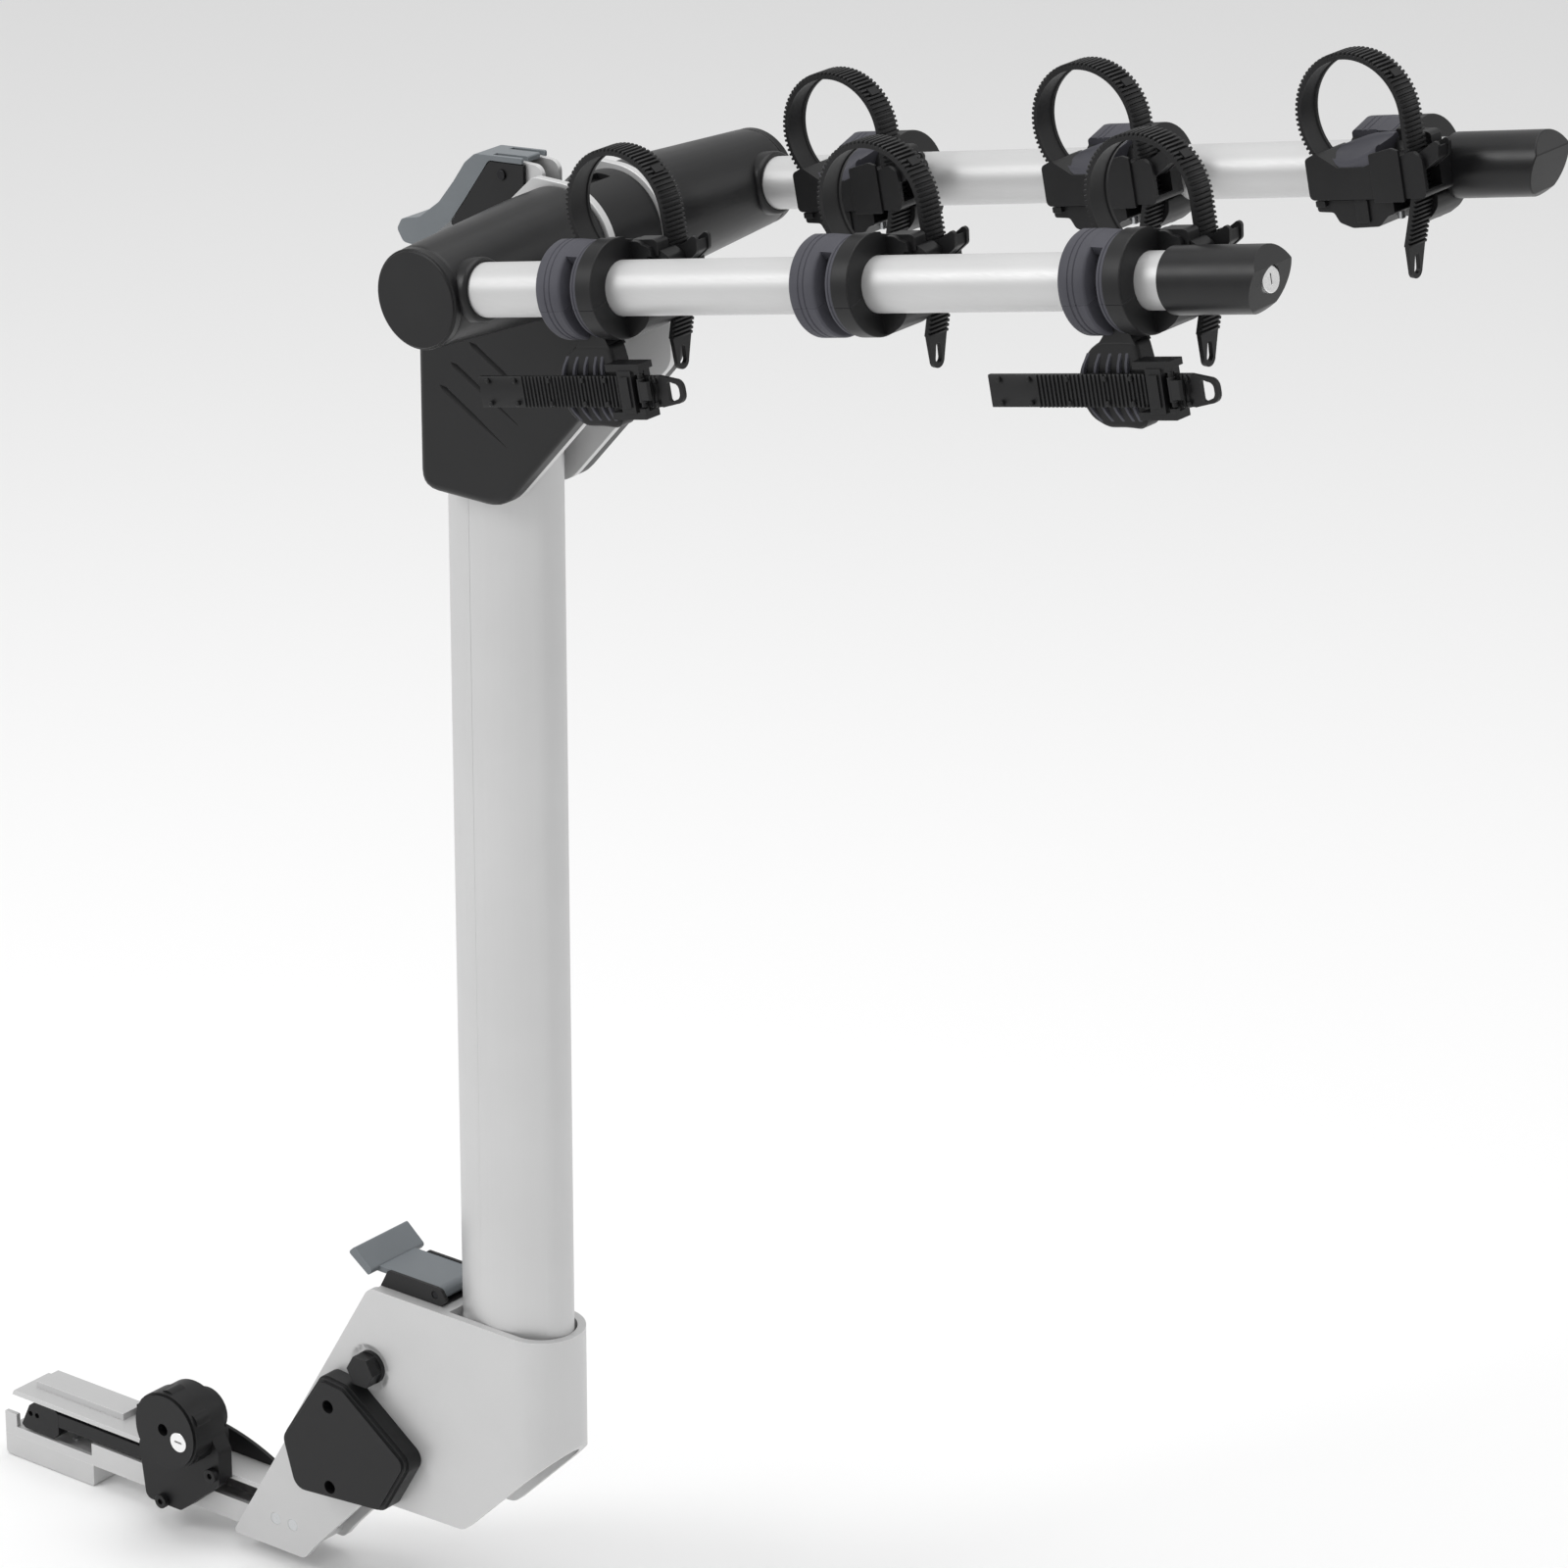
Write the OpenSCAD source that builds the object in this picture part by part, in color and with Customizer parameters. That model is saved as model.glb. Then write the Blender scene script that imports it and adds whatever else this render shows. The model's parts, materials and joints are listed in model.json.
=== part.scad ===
// Hitch mounted bike rack: tilting mast, two folding arms, six cradles with ladder straps.
// Origin on the hitch pin axis at the middle of the shank, +X away from the car, +Z up.
// Left is the -Y side and right the +Y side, as seen from behind the car.

/* [Hitch shank] */
// Side of the square shank, a 1.25 in receiver size
shank = 31.75; // [31:0.05:32.2]
// Shank wall thickness
shank_wall = 3.2; // [2.5:0.1:4]
// Distance from the hitch pin axis to the front end of the shank
shank_front = 29; // [25:1:34]
// Rear end of the shank, between the bracket plates
shank_rear = 228; // [224:1:230]
// Height of the lip under the open channel in the left wall
lip_h = 15; // [13:0.5:15.5]
// Height of the lower adapter block
adapter_low_h = 14.5; // [14:0.1:15]
// Height of the upper adapter block
adapter_up_h = 4.5; // [4:0.1:5]

/* [Tilting base] */
// Tilt pivot, distance behind the hitch pin axis
pivot_x = 269.5; // [266:0.5:273]
// Tilt pivot, height above the shank axis
pivot_z = 77; // [74:0.5:80]
// Bracket plate thickness
bracket_t = 5; // [4:0.5:5]
// Base housing sheet thickness
housing_t = 5; // [4.5:0.1:5]
// Height of the housing deck above the shank axis
housing_top = 184; // [180:1:190]

/* [Mast] */
// Mast depth, front to back
mast_x = 78; // [74:1:80]
// Mast width, left to right
mast_y = 42; // [40:0.5:42.4]
// Mast wall thickness
mast_wall = 3; // [2:0.5:4]
// Mast axis, distance behind the hitch pin axis
mast_at = 387; // [385:1:389]

/* [Hub and arms] */
// Hub axis, distance behind the hitch pin axis
hub_x = 452; // [450:1:456]
// Hub axis, height above the shank axis
hub_z = 864; // [860:1:900]
// Half length of the hub over its end caps
hub_half = 148; // [146:0.5:150]
// Arm tube diameter
arm_d = 29.85; // [29:0.05:30]
// Distance of each arm from the middle plane
arm_y = 126.3; // [125:0.1:127]
// Upward slope of the arms, degrees
arm_tilt = 11.8; // [0:0.1:20]
// Arm length from the hub axis to its end plug
arm_len = 494; // [490:1:500]

/* [Cradles] */
// Distance of the first cradle from the hub axis
cradle_first = 111; // [108:0.5:114]
// Distance between neighbouring bikes
cradle_pitch = 174; // [168:1:176]
// Radius of the cradle rings
cradle_r = 27; // [26:0.5:28]
// Outer radius of a closed strap loop
loop_r = 34; // [30:0.5:34]
// Ladder strap width
strap_w = 16; // [14:0.5:16]
// Ladder strap thickness
strap_t = 3; // [2.5:0.1:3.2]

/* [Hidden] */
$fn = 64;

LEFT = -1;
RIGHT = 1;
half = shank / 2;
eps = 0.05;                  // running clearance on a radius
gap = 0.35;                  // clearance between moving faces
over = 1;                    // how far a cutting shape runs past a face
arm_r = arm_d / 2;
lip_z = lip_h - half;        // top of the lip under the channel
slant = 59.3;                // slope of the housing's front edge
pivot_r = 6;                 // tilt pivot bolt
lobe_r = 35.8;               // bracket lobe round the pivot
housing_y = half + bracket_t + gap + housing_t;
housing_in = housing_y - housing_t;
cover_y = housing_y + 15;    // outer face of a pivot cover
latch_at = [291, 131];       // hex bolt that carries the tilt latch
lever_at = [338, 190.4];     // tilt lever pin
knob_at = [136.5, 46.5];     // knob axis
knob_r = 25.5;
lock_at = knob_at + [11.5, -3.5];
pinion_r = 6;                // pitch radius of the knob's pinion
tooth_p = pinion_r * 360 / 10 * PI / 180;
rod_z = 5.6;                 // middle height of the draw rod
pin_r = 6.2;                 // hitch latch pin
tube_r = 21;                 // hub tube
drum_r = 33.5;               // black drum between the head plates
plate_in = 21.1;             // inner faces of the head plates
plate_out = 26;              // outer faces of the head plates
side_y = 38;                 // outer faces of the side covers
release_at = [397, 891.5];   // release lever pin
plug_end = 554;              // far end of an arm plug, from the hub axis
block_in = 42;               // inner face of a cradle body, from the arm axis
loop_z = 35;                 // middle of a strap loop above the arm axis
strap_y = 33;                // middle of a strap, inward from the arm axis

black = "#2b2b2d";
rubber = "#4b4b53";
grey = "#6d7479";
silver = "#cfcfcf";
steel = "#9a9da0";

// ---------- helpers ----------

function unit(v) = v / norm(v);
function dir(a) = [cos(a), sin(a)];
function heading(v) = atan2(v[1], v[0]);
function turn(a) = a > 180 ? a - 360 : a < -180 ? a + 360 : a;

// Points that round vertex p, between neighbours a and b, with radius r.
function fillet(a, p, b, r, n = 6) =
    let (u = unit(a - p), v = unit(b - p), h = acos(u * v) / 2,
         c = p + unit(u + v) * r / sin(h),
         s = heading(p + u * r / tan(h) - c),
         e = turn(heading(p + v * r / tan(h) - c) - s))
    [for (i = [0:n]) c + r * dir(s + e * i / n)];

// Outline pts with every corner rounded by the radius in rs.
function rounded(pts, rs) =
    let (n = len(pts))
    [for (i = [0:n - 1])
        each (rs[i] == 0 ? [pts[i]]
            : fillet(pts[(i + n - 1) % n], pts[i], pts[(i + 1) % n], rs[i]))];

// Point where the tangent from p touches the circle (c, r); side is 1 or -1.
function touch(p, c, r, side) =
    let (d = norm(p - c)) c + r * dir(heading(p - c) + side * acos(r / d));

// Upright plate with an XZ outline, from y0 to y1.
module plate(y0, y1) {
    translate([0, y1, 0]) rotate([90, 0, 0]) linear_extrude(y1 - y0) children();
}

// Cylinder along Y through (x, z).
module rod_y(at, r, y0, y1) {
    translate([at[0], y1, at[1]]) rotate([90, 0, 0]) cylinder(r = r, h = y1 - y0);
}

// Cylinder along X from x0 to x1.
module rod_x(r, x0, x1) {
    translate([x0, 0, 0]) rotate([0, 90, 0]) cylinder(r = r, h = x1 - x0);
}

// Hexagonal bolt head or nut along Y, across flats af.
module hex_y(at, af, y0, y1) {
    translate([at[0], y1, at[1]]) rotate([90, 0, 0])
        cylinder(r = af / 2 / cos(30), h = y1 - y0, $fn = 6);
}

module box(a, b) {
    translate(a) cube(b - a);
}

module both_sides() {
    children();
    mirror([0, 1, 0]) children();
}

// Coil spring of round wire along +Z, as one swept tube.
module coil(r, wire, length, turns) {
    n = 14;
    k = 6;
    rings = [for (i = [0:n * turns]) let (a = 360 * i / n, z = wire + (length - 2 * wire) * i / n / turns)
        [for (j = [0:k - 1]) let (b = 360 * j / k, q = r + wire * cos(b))
            [q * cos(a), q * sin(a), z + wire * sin(b)]]];
    count = len(rings);
    sides = [for (i = [0:count - 2], j = [0:k - 1])
        [i * k + j, i * k + (j + 1) % k, (i + 1) * k + (j + 1) % k, (i + 1) * k + j]];
    ends = [[for (j = [k - 1:-1:0]) j], [for (j = [0:k - 1]) (count - 1) * k + j]];
    polyhedron([for (ring = rings) each ring], concat(sides, ends));
}

// Points on an arc of radius r round c, from angle a0 to a1.
function arc(c, r, a0, a1, n) = [for (i = [0:n]) c + r * dir(a0 + (a1 - a0) * i / n)];

// Oval with flatter sides: end arcs of radius r that run into two large arcs.
module oval(a, b, r) {
    big = ((a - r) * (a - r) + b * b - r * r) / 2 / (b - r);
    meet = atan2(big - b, a - r);
    polygon(concat(
        arc([a - r, 0], r, -meet, meet, 20),
        arc([0, b - big], big, meet + 0.5, 179.5 - meet, 24),
        arc([r - a, 0], r, 180 - meet, 180 + meet, 20),
        arc([0, big - b], big, 180.5 + meet, 359.5 - meet, 24)));
}

// ---------- hitch shank ----------

module stinger_tube() {
    color(silver) difference() {
        box([-shank_front, -half, -half], [shank_rear, half, half]);
        box([-shank_front - over, shank_wall - half, shank_wall - half],
            [shank_rear + over, half - shank_wall, half - shank_wall]);
        // open channel in the left wall
        box([-shank_front - over, -half - over, lip_z], [198, 0, half - shank_wall]);
        // window in the lip for the wedge
        box([-19, -half - over, -9.5], [46, 0, lip_z + over]);
        // slanted front end of the upper part
        plate(-half - over, half + over)
            polygon([[-shank_front - over, lip_z], [-shank_front, lip_z], [-shank_front + 9, half + over],
                     [-shank_front - over, half + over]]);
        rod_y([0, 0], pin_r + eps, 0, half + over);
        for (x = bracket_bolt_x) rod_y([x, 0], 4, -half - over, half + over);
        rod_y(housing_screw_at[1], 2.2, -half - over, -half + 2);
        for (x = adapter_screw_x) {
            translate([x, 6, half - shank_wall - over]) cylinder(r = 2.5, h = shank_wall + 2 * over);
            translate([x, 0, -half - over]) cylinder(r = 2.5, h = shank_wall + 2 * over);
        }
    }
}

bracket_bolt_x = [206, 220];
adapter_screw_x = [18, 38];

module adapter_blocks() {
    color(silver) {
        difference() {
            plate(-half, half) polygon(rounded(
                [[-shank_front, -half - adapter_low_h], [47, -half - adapter_low_h],
                 [47, -half], [-shank_front, -half]], [3, 1.5, 0, 0]));
            for (x = adapter_screw_x)
                translate([x, 0, -half - adapter_low_h - over])
                    cylinder(r = 2.5, h = adapter_low_h + 2 * over);
            // tapped hole in the rear end
            translate([47 + over, 3, -half - adapter_low_h / 2]) rotate([0, -90, 0])
                cylinder(r = 1.8, h = 14);
        }
        difference() {
            box([-12, -4, half], [63, half, half + adapter_up_h]);
            for (x = adapter_screw_x) translate([x, 6, half - over]) cylinder(r = 2.5, h = 3.5 + over);
        }
    }
}

// Screws in the adapter blocks and bolts through the bracket plates.
module stinger_fasteners() {
    color(steel) {
        for (x = adapter_screw_x) {
            translate([x, 6, half - shank_wall - 1.5]) cylinder(r = 2.5, h = shank_wall + 5);
            translate([x, 0, -half - adapter_low_h]) cylinder(r = 2.5, h = adapter_low_h + shank_wall + 1);
        }
        for (x = bracket_bolt_x) {
            rod_y([x, 0], 4, -half - bracket_t, half + bracket_t);
        }
    }
}

module bracket_outline() {
    foot = [slant_x(-20), -20];
    toe = [237, -10];
    pivot = [pivot_x, pivot_z];
    polygon(rounded([foot, [229, -20], toe, touch(toe, pivot, lobe_r, 1), pivot,
                     touch(foot, pivot, lobe_r, -1)], [2, 6, 4, 0, 0, 0]));
    translate(pivot) circle(lobe_r);
}

// X of the straight front edge that the bracket and the housing share, at height z.
function slant_x(z) = pivot_x - lobe_r * sin(slant) + (z - pivot_z - lobe_r * cos(slant)) / tan(slant);

module bracket_plates() {
    color(silver) both_sides() difference() {
        plate(half, half + bracket_t) bracket_outline();
        rod_y([pivot_x, pivot_z], pivot_r, half - over, half + bracket_t + over);
        for (x = bracket_bolt_x) rod_y([x, 0], 4, half - over, half + bracket_t + over);
    }
}

// Tilt pivot: bolt with hexagon head, nut, and the spacer between the bracket plates.
module tilt_pivot_bolt() {
    at = [pivot_x, pivot_z];
    color(steel) {
        rod_y(at, pivot_r, -housing_y - 0.4, housing_y + 0.4);
        hex_y(at, 19, -housing_y - 8, -housing_y - 0.4);
        hex_y(at, 19, housing_y + 0.4, housing_y + 9);
        difference() {
            rod_y(at, 11, -half, half);
            rod_y(at, pivot_r, -half - over, half + over);
        }
    }
}

// ---------- anti-rattle knob ----------

saddle_y = [-half - 12, -half];

module knob_housing() {
    color(black) difference() {
        union() {
            rod_y(knob_at, 24.5, saddle_y[0], saddle_y[1]);
            plate(saddle_y[0], saddle_y[1]) polygon(rounded(
                [[104, -15], [133, -15], [166, 12], [166, 34], [150, 62], [118, 56], [99, 22]],
                [5, 5, 6, 6, 0, 0, 6]));
            // leg that stands on the shank and carries the spindle
            box([119, -half, half], [152, -3, 40]);
            rod_y(knob_at, 15, -half, -3);
        }
        // chamber for the rack and pinion
        box([110, saddle_y[0] + 4, lip_z + 1], [160, -half - 0.4, knob_at[1] - pinion_r + 1.2]);
        rod_y(knob_at, pinion_r + 2.2, saddle_y[0] + 4, -half - 0.4);
        box([96, -half - 4.7, lip_z + 1], [166, -half + over, 14]);
        rod_y(knob_at, 5 + eps, saddle_y[0] - over, 0);
        for (at = housing_screw_at) rod_y(at, 2.2, saddle_y[0] - over, saddle_y[1] + 2);
    }
}

housing_screw_at = [[161.5, 19], [119, -12]];

module knob_housing_screws() {
    color(black) for (at = housing_screw_at) difference() {
        union() {
            rod_y(at, 2.2, saddle_y[0], -half + 2);
            rod_y(at, 4.5, saddle_y[0] - 4, saddle_y[0]);
        }
        hex_y(at, 3.5, saddle_y[0] - 4 - over, saddle_y[0] - 1.5);
    }
}

// Plate with an arched top that stands on the shank.
module guard_plate() {
    chord = 140;
    rise = 17.5;
    arch_x = 118;
    arch_r = (chord * chord / 4 + rise * rise) / 2 / rise;
    color(black) plate(7, 10) intersection() {
        translate([arch_x, half + rise - arch_r]) circle(arch_r, $fn = 200);
        translate([64, half]) square([117, rise + over]);
    }
}

module hitch_knob() {
    y0 = -half - 28;
    y1 = saddle_y[0] - gap;
    color(black) difference() {
        union() {
            rod_y(knob_at, knob_r - 1.5, y0, y0 + 1.5);
            rod_y(knob_at, knob_r, y0 + 1.5, y1);
            for (a = [30:60:330]) translate([knob_at[0], 0, knob_at[1]]) rotate([0, a, 0])
                rod_y([knob_r - 5.3, 0], 6.5, y0 + 4, y1);
        }
        rod_y(lock_at, 6.5, y0 - over, y0 + 9);
        rod_y(knob_at + [-1.5, 1], 4, y0 - over, y0 + 6);
        rod_y(knob_at, 5, y0 + 10, y1 + over);
    }
}

module knob_lock_core() {
    y0 = -half - 28.6;
    at = lock_at;
    color("#e4e4e4") difference() {
        rod_y(at, 6.5 - eps, y0, y0 + 8.5);
        box([at[0] - 3, y0 - over, at[1] - 0.5], [at[0] + 3, y0 + 3, at[1] + 0.5]);
    }
}

// Spindle of the knob with its ten-tooth pinion.
module knob_pinion() {
    color(steel) {
        rod_y(knob_at, 5, -half - 17, -4);
        translate([knob_at[0], -half - 1, knob_at[1]]) rotate([90, 0, 0]) linear_extrude(6.5)
            for (i = [0:9]) rotate(36 * i - 90)
                polygon([[0, -1.3], [pinion_r - 1, -1.15], [pinion_r + 1, -0.4],
                         [pinion_r + 1, 0.4], [pinion_r - 1, 1.15], [0, 1.3]]);
    }
}

// Bar in the channel with an upright rack that the pinion moves.
module draw_rod() {
    rack_z = knob_at[1] - pinion_r;
    color(black) {
        box([17.2, -half + 0.6, rod_z - 4.5], [147, -half + 7, rod_z + 4.5]);
        box([2.2, -half + 3, rod_z - 4.5], [17.3, -half + 7, rod_z + 4.5]);
        box([116, -half - 7.5, rod_z - 4.5], [145.4, -half - 1, rack_z - 1.4]);
        box([118, -half - 1.1, rod_z - 4], [144, -half + 0.7, rod_z + 4.4]);
        plate(-half - 7.5, -half - 1) for (i = [-4:2]) translate([knob_at[0] + (i - 0.5) * tooth_p, rack_z])
            polygon([[-1.3, -1.5], [1.3, -1.5], [1.1, -0.9], [0.35, 0.9], [-0.35, 0.9], [-1.1, -0.9]]);
    }
}

// Wedge at the front of the draw rod, with two small screw recesses.
module wedge_block() {
    color(black) difference() {
        plate(-half + 0.6, -half + 12) polygon(rounded(
            [[-15, -6], [-12, -8], [13, -8], [17, -4], [17, 10], [14, 12], [-4, 12], [-8, 9]],
            [1, 1, 1, 1, 1, 1, 1, 1]));
        box([2, -half + 2.9, rod_z - 4.6], [18, -half + 7.1, rod_z + 4.6]);
        for (x = [-7, -1.5]) rod_y([x, 3.5], 1.8, -half, -half + 3);
    }
}

// Spring-loaded pin that snaps into the hitch pin hole.
nose_r = 5.8;                // nose of the latch pin, outside the shank

module hitch_latch_pin() {
    color(steel) {
        rod_y([0, 0], pin_r, half - shank_wall - 6, half + 0.3);
        rod_y([0, 0], nose_r, half + 0.3, half + 6);
        rod_y([0, 0], pin_r - 1.2, half + 6, half + 7.2);
        rod_y([0, 0], 9, half - shank_wall - 7.5, half - shank_wall - 5);
    }
}

module pin_spring() {
    color(steel) translate([0, 0.6, 0]) rotate([-90, 0, 0]) coil(4.5, 0.6, half - shank_wall - 8.3, 3);
}

// ---------- tilting base ----------

module housing_side() {
    polygon(rounded(
        [[slant_x(housing_top), housing_top], [480, housing_top], [480, 159], [364, 45],
         [244, 42], [slant_x(62), 62]],
        [9, 0, 0, 12, 14, 10]));
}

module base_housing() {
    rear = mast_at + mast_x / 2 - mast_y / 2;
    deck_x = [slant_x(housing_top) + 4, mast_at - mast_x / 2 + 3];
    color(silver) {
        difference() {
            intersection() {
                linear_extrude(housing_top) difference() {
                    union() {
                        translate([rear, 0]) circle(housing_y);
                        translate([150, -housing_y]) square([rear - 150, 2 * housing_y]);
                    }
                    translate([rear, 0]) circle(housing_in);
                    translate([149, -housing_in]) square([rear - 149, 2 * housing_in]);
                }
                plate(-40, 40) housing_side();
            }
            rod_y([pivot_x, pivot_z], pivot_r + eps, -40, 40);
            rod_y(latch_at, pivot_r, -40, 40);
            // shallow dimples round the hex bolt
            both_sides() translate([latch_at[0], -housing_y - 0.01, latch_at[1]]) rotate([-90, 0, 0])
                cylinder(r1 = 16, r2 = 11, h = 2.2);
            for (at = cover_screw_at) rod_y(at, 2, -40, 40);
        }
        difference() {
            box([deck_x[0], -housing_in, housing_top - 4], [deck_x[1], housing_in, housing_top]);
            box([303, -6, housing_top - 5], [333, 6, housing_top + over]);
            translate([mast_at, 0, housing_top - 5]) linear_extrude(6)
                oval(mast_x / 2 + 0.1, mast_y / 2 + 0.1, 14);
        }
    }
}

module mast_tube() {
    color(silver) difference() {
        translate([mast_at, 0, 116]) linear_extrude(684) difference() {
            oval(mast_x / 2, mast_y / 2, 14);
            oval(mast_x / 2 - mast_wall, mast_y / 2 - mast_wall, 11.5);
        }
        for (at = head_bolt_at) rod_y(at, 4, -40, 40);
    }
}

head_bolt_at = [[372, 734], [402, 734], [372, 784]];
cover_screw_at = [[270, 104], [270, 50]];

module cover_outline() {
    polygon(rounded([[263, 123], [283, 121], [334, 84], [311, 45], [240, 38.5], [230, 72]],
                    [9, 9, 9, 10, 10, 10]));
}

module pivot_covers() {
    cup_r = 14;
    color(black) both_sides() difference() {
        union() {
            plate(housing_y + 0.05, cover_y - 4) cover_outline();
            plate(cover_y - 4.01, cover_y - 1.5) offset(delta = -1.2) cover_outline();
            plate(cover_y - 1.51, cover_y) offset(delta = -3) cover_outline();
        }
        rod_y([pivot_x, pivot_z], cup_r, housing_y - over, cover_y - 3);
        for (at = cover_screw_at) {
            rod_y(at, 2, housing_y - over, cover_y);
            rod_y(at, 4.2, housing_y + 6, cover_y + over);
        }
    }
}

module cover_screws() {
    color(steel) both_sides() for (at = cover_screw_at) {
        rod_y(at, 2, housing_in + 0.6, housing_y + 6);
        rod_y(at, 4, housing_y + 6, housing_y + 8.5);
    }
}

// Hex bolt through the housing, with a nut on the right.
module latch_bolt() {
    color(black) {
        rod_y(latch_at, pivot_r, -housing_y, housing_y);
        rod_y(latch_at, 10.5, -housing_y - 0.6, -housing_y + 2.2);
        hex_y(latch_at, 18, -housing_y - 9, -housing_y - 0.6);
        hex_y(latch_at, 18, housing_y - 2.2, housing_y + 8);
    }
}

module lever_body() {
    top = housing_top + 11.5;
    color(black) difference() {
        plate(-19, 19) polygon(rounded(
            [[295, housing_top], [343, housing_top], [347, housing_top + 5], [343, top - 0.5],
             [339, top], [301, top]], [0, 0, 1, 3, 1, 2]));
        // room for the grey lever between the cheeks
        box([290, -16.6, housing_top + 1.4], [350, 16.6, top + over]);
        box([303, -6, housing_top - over], [333, 6, housing_top + 3]);
        rod_y(lever_at, 2.5, -20, 20);
    }
}

module lever_pin() {
    color(steel) rod_y(lever_at, 2.5, -18.6, 18.6);
}

// Grey lever with a wide paddle that slopes up to the front.
module tilt_lever() {
    top = housing_top + 11;
    pin = lever_at;
    color(grey) difference() {
        union() {
            plate(-16.2, 16.2) polygon(rounded([[289, top - 3.6], [pin[0], top - 3.6], [pin[0], top],
                                                [290, top]], [0, 0, 0, 0]));
            plate(-16.2, 16.2) translate(pin) circle(top - pin[1]);
            plate(-12.6, 12.6) polygon(rounded([[300, top - 8.4], [pin[0], top - 8.4], [pin[0], top - 3.5],
                                                [300, top - 3.5]], [2, 0, 0, 0]));
            plate(-24, 24) polygon(rounded([[290, top - 4], [293, top - 0.2], [279, top + 11.5],
                                            [274.5, top + 7]], [1, 2, 1.5, 1.5]));
        }
        rod_y(pin, 2.5 + eps, -20, 20);
    }
}

// Hook on the hex bolt; the tail reaches up under the lever.
module tilt_latch() {
    color(steel) difference() {
        plate(-5, 5) union() {
            translate(latch_at) circle(11);
            polygon(rounded([latch_at + [-11, 0], latch_at + [11, 0], [326, 170], [326, 184], [316, 184],
                             [308, 160]], [0, 0, 4, 2, 2, 6]));
            polygon(rounded([latch_at + [-10, 4], latch_at + [9, -6], [287, 117], [262, 117], [262, 123],
                             [270, 130]], [0, 0, 3, 1, 2, 5]));
        }
        rod_y(latch_at, pivot_r + eps, -10, 10);
    }
}

// ---------- head ----------

hub = [hub_x, hub_z];

module head_outline() {
    polygon(rounded([[355, 706], [415, 706], [491, 792], hub + [36.5, 0], hub + [0, 36.5], [432, 900.5],
                     [355, 826]], [12, 22, 14, 0, 0, 8, 10]));
    translate(hub) circle(36.5, $fn = 120);
}

module head_plates() {
    color(silver) both_sides() difference() {
        plate(plate_in, plate_out) head_outline();
        rod_y(hub, 25, plate_in - over, plate_out + over);
        for (at = head_bolt_at) rod_y(at, 4, plate_in - over, plate_out + over);
    }
}

module cover_groove(p, length) {
    translate([p[0], -side_y + 1.2, p[1]]) rotate([0, 29, 0]) rotate([90, 0, 0])
        translate([0, -1.5, 0]) linear_extrude(3) square([length, 3]);
}

// Side cover, made for the left and mirrored for the right.
module side_cover() {
    difference() {
        union() {
            plate(-side_y + 3.5, -plate_out) offset(delta = -1) head_outline();
            plate(-side_y + 1.2, -side_y + 3.51) offset(delta = -2.4) head_outline();
            plate(-side_y, -side_y + 1.21) offset(delta = -4.5) head_outline();
        }
        rod_y(hub, 36, -side_y - over, -plate_out + over);
        box([340, -side_y - over, hub_z - 8], [520, 0, 920]);
        for (at = head_bolt_at) rod_y(at, 8, -plate_out - 7, -plate_out + over);
        cover_groove([394.5, 800.5], 52);
        cover_groove([380.5, 786], 58);
        cover_groove([372, 771], 57);
    }
}

module side_cover_left() {
    color(black) side_cover();
}

module side_cover_right() {
    color(black) mirror([0, 1, 0]) side_cover();
}

module head_bolts() {
    color(steel) for (at = head_bolt_at) {
        rod_y(at, 4, -plate_out, plate_out);
        hex_y(at, 13, -plate_out - 5, -plate_out);
        hex_y(at, 13, plate_out, plate_out + 6);
    }
}

// Channel between the head plates that carries the release lever.
module release_bracket() {
    color(silver) difference() {
        union() {
            both_sides() plate(5.5, 8.5) polygon(rounded(
                [[384, 838], [412, 838], [412, 860], [424, 886], [424, 900.5], [407, 900.5], [394, 896],
                 [384, 884]], [0, 0, 4, 4, 6, 8, 4, 4]));
            box([384, -8.5, 835], [412, 8.5, 841]);
            both_sides() box([386, 8.4, 829], [408, plate_in, 841]);
        }
        rod_y(release_at, 3, -10, 10);
    }
}

module release_pin() {
    color(steel) rod_y(release_at, 3, -12.6, 12.6);
}

// Curved grey handle in front of the hub.
module release_lever() {
    top = [[411, 903.2], [388, 901], [377, 900], [369.5, 893.5], [361, 881], [350, 867], [335.5, 855.5],
           [322, 852], [318.5, 845.5], [323, 838.5], [332, 838]];
    under = [[345, 846], [358, 857], [369, 872], [381.5, 890], [387, 898], [411, 900]];
    color(grey) difference() {
        plate(-11, 11) polygon(rounded(concat(top, under),
            [1, 0, 5, 6, 8, 10, 8, 4, 3, 4, 4, 8, 8, 8, 6, 4, 0]));
        // slots for the ears of the bracket
        both_sides() box([388.5, 5.1, 890], [412, 8.9, 910]);
    }
}

// Black core of the lever: two cheeks joined in front, with the nose that locks the drum.
module release_core() {
    cheek = [[412.5, 899.5], [388, 897.5], [381.8, 889.5], [369.5, 871.5], [358.5, 856.5], [368, 850],
             [390, 858], [412.5, 876]];
    color(black) difference() {
        union() {
            both_sides() plate(8.9, 11.4) polygon(rounded(cheek, [0.5, 2, 3, 4, 2, 4, 8, 3]));
            plate(-9, 9) polygon([[380.5, 888], [369.5, 872.2], [359.5, 857], [367, 852], [377, 857],
                                  [380.5, 864]]);
            plate(-4.8, 4.8) polygon(rounded([[379, 884], [379, 866], [404, 872], [416.8, 860.5],
                                              [417.6, 866], [408, 886], [403, 897.6], [389, 896.6]],
                                             [0, 0, 6, 0.5, 0.5, 4, 2, 0]));
        }
        rod_y(release_at, 3 + eps, -15, 15);
    }
}

module hub_bushes() {
    color("#e8e6df") both_sides() difference() {
        union() {
            rod_y(hub, 25, plate_in, plate_out);
            rod_y(hub, 28, plate_out, plate_out + 0.8);
        }
        rod_y(hub, tube_r + eps, plate_in - over, plate_out + 2);
    }
}

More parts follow.
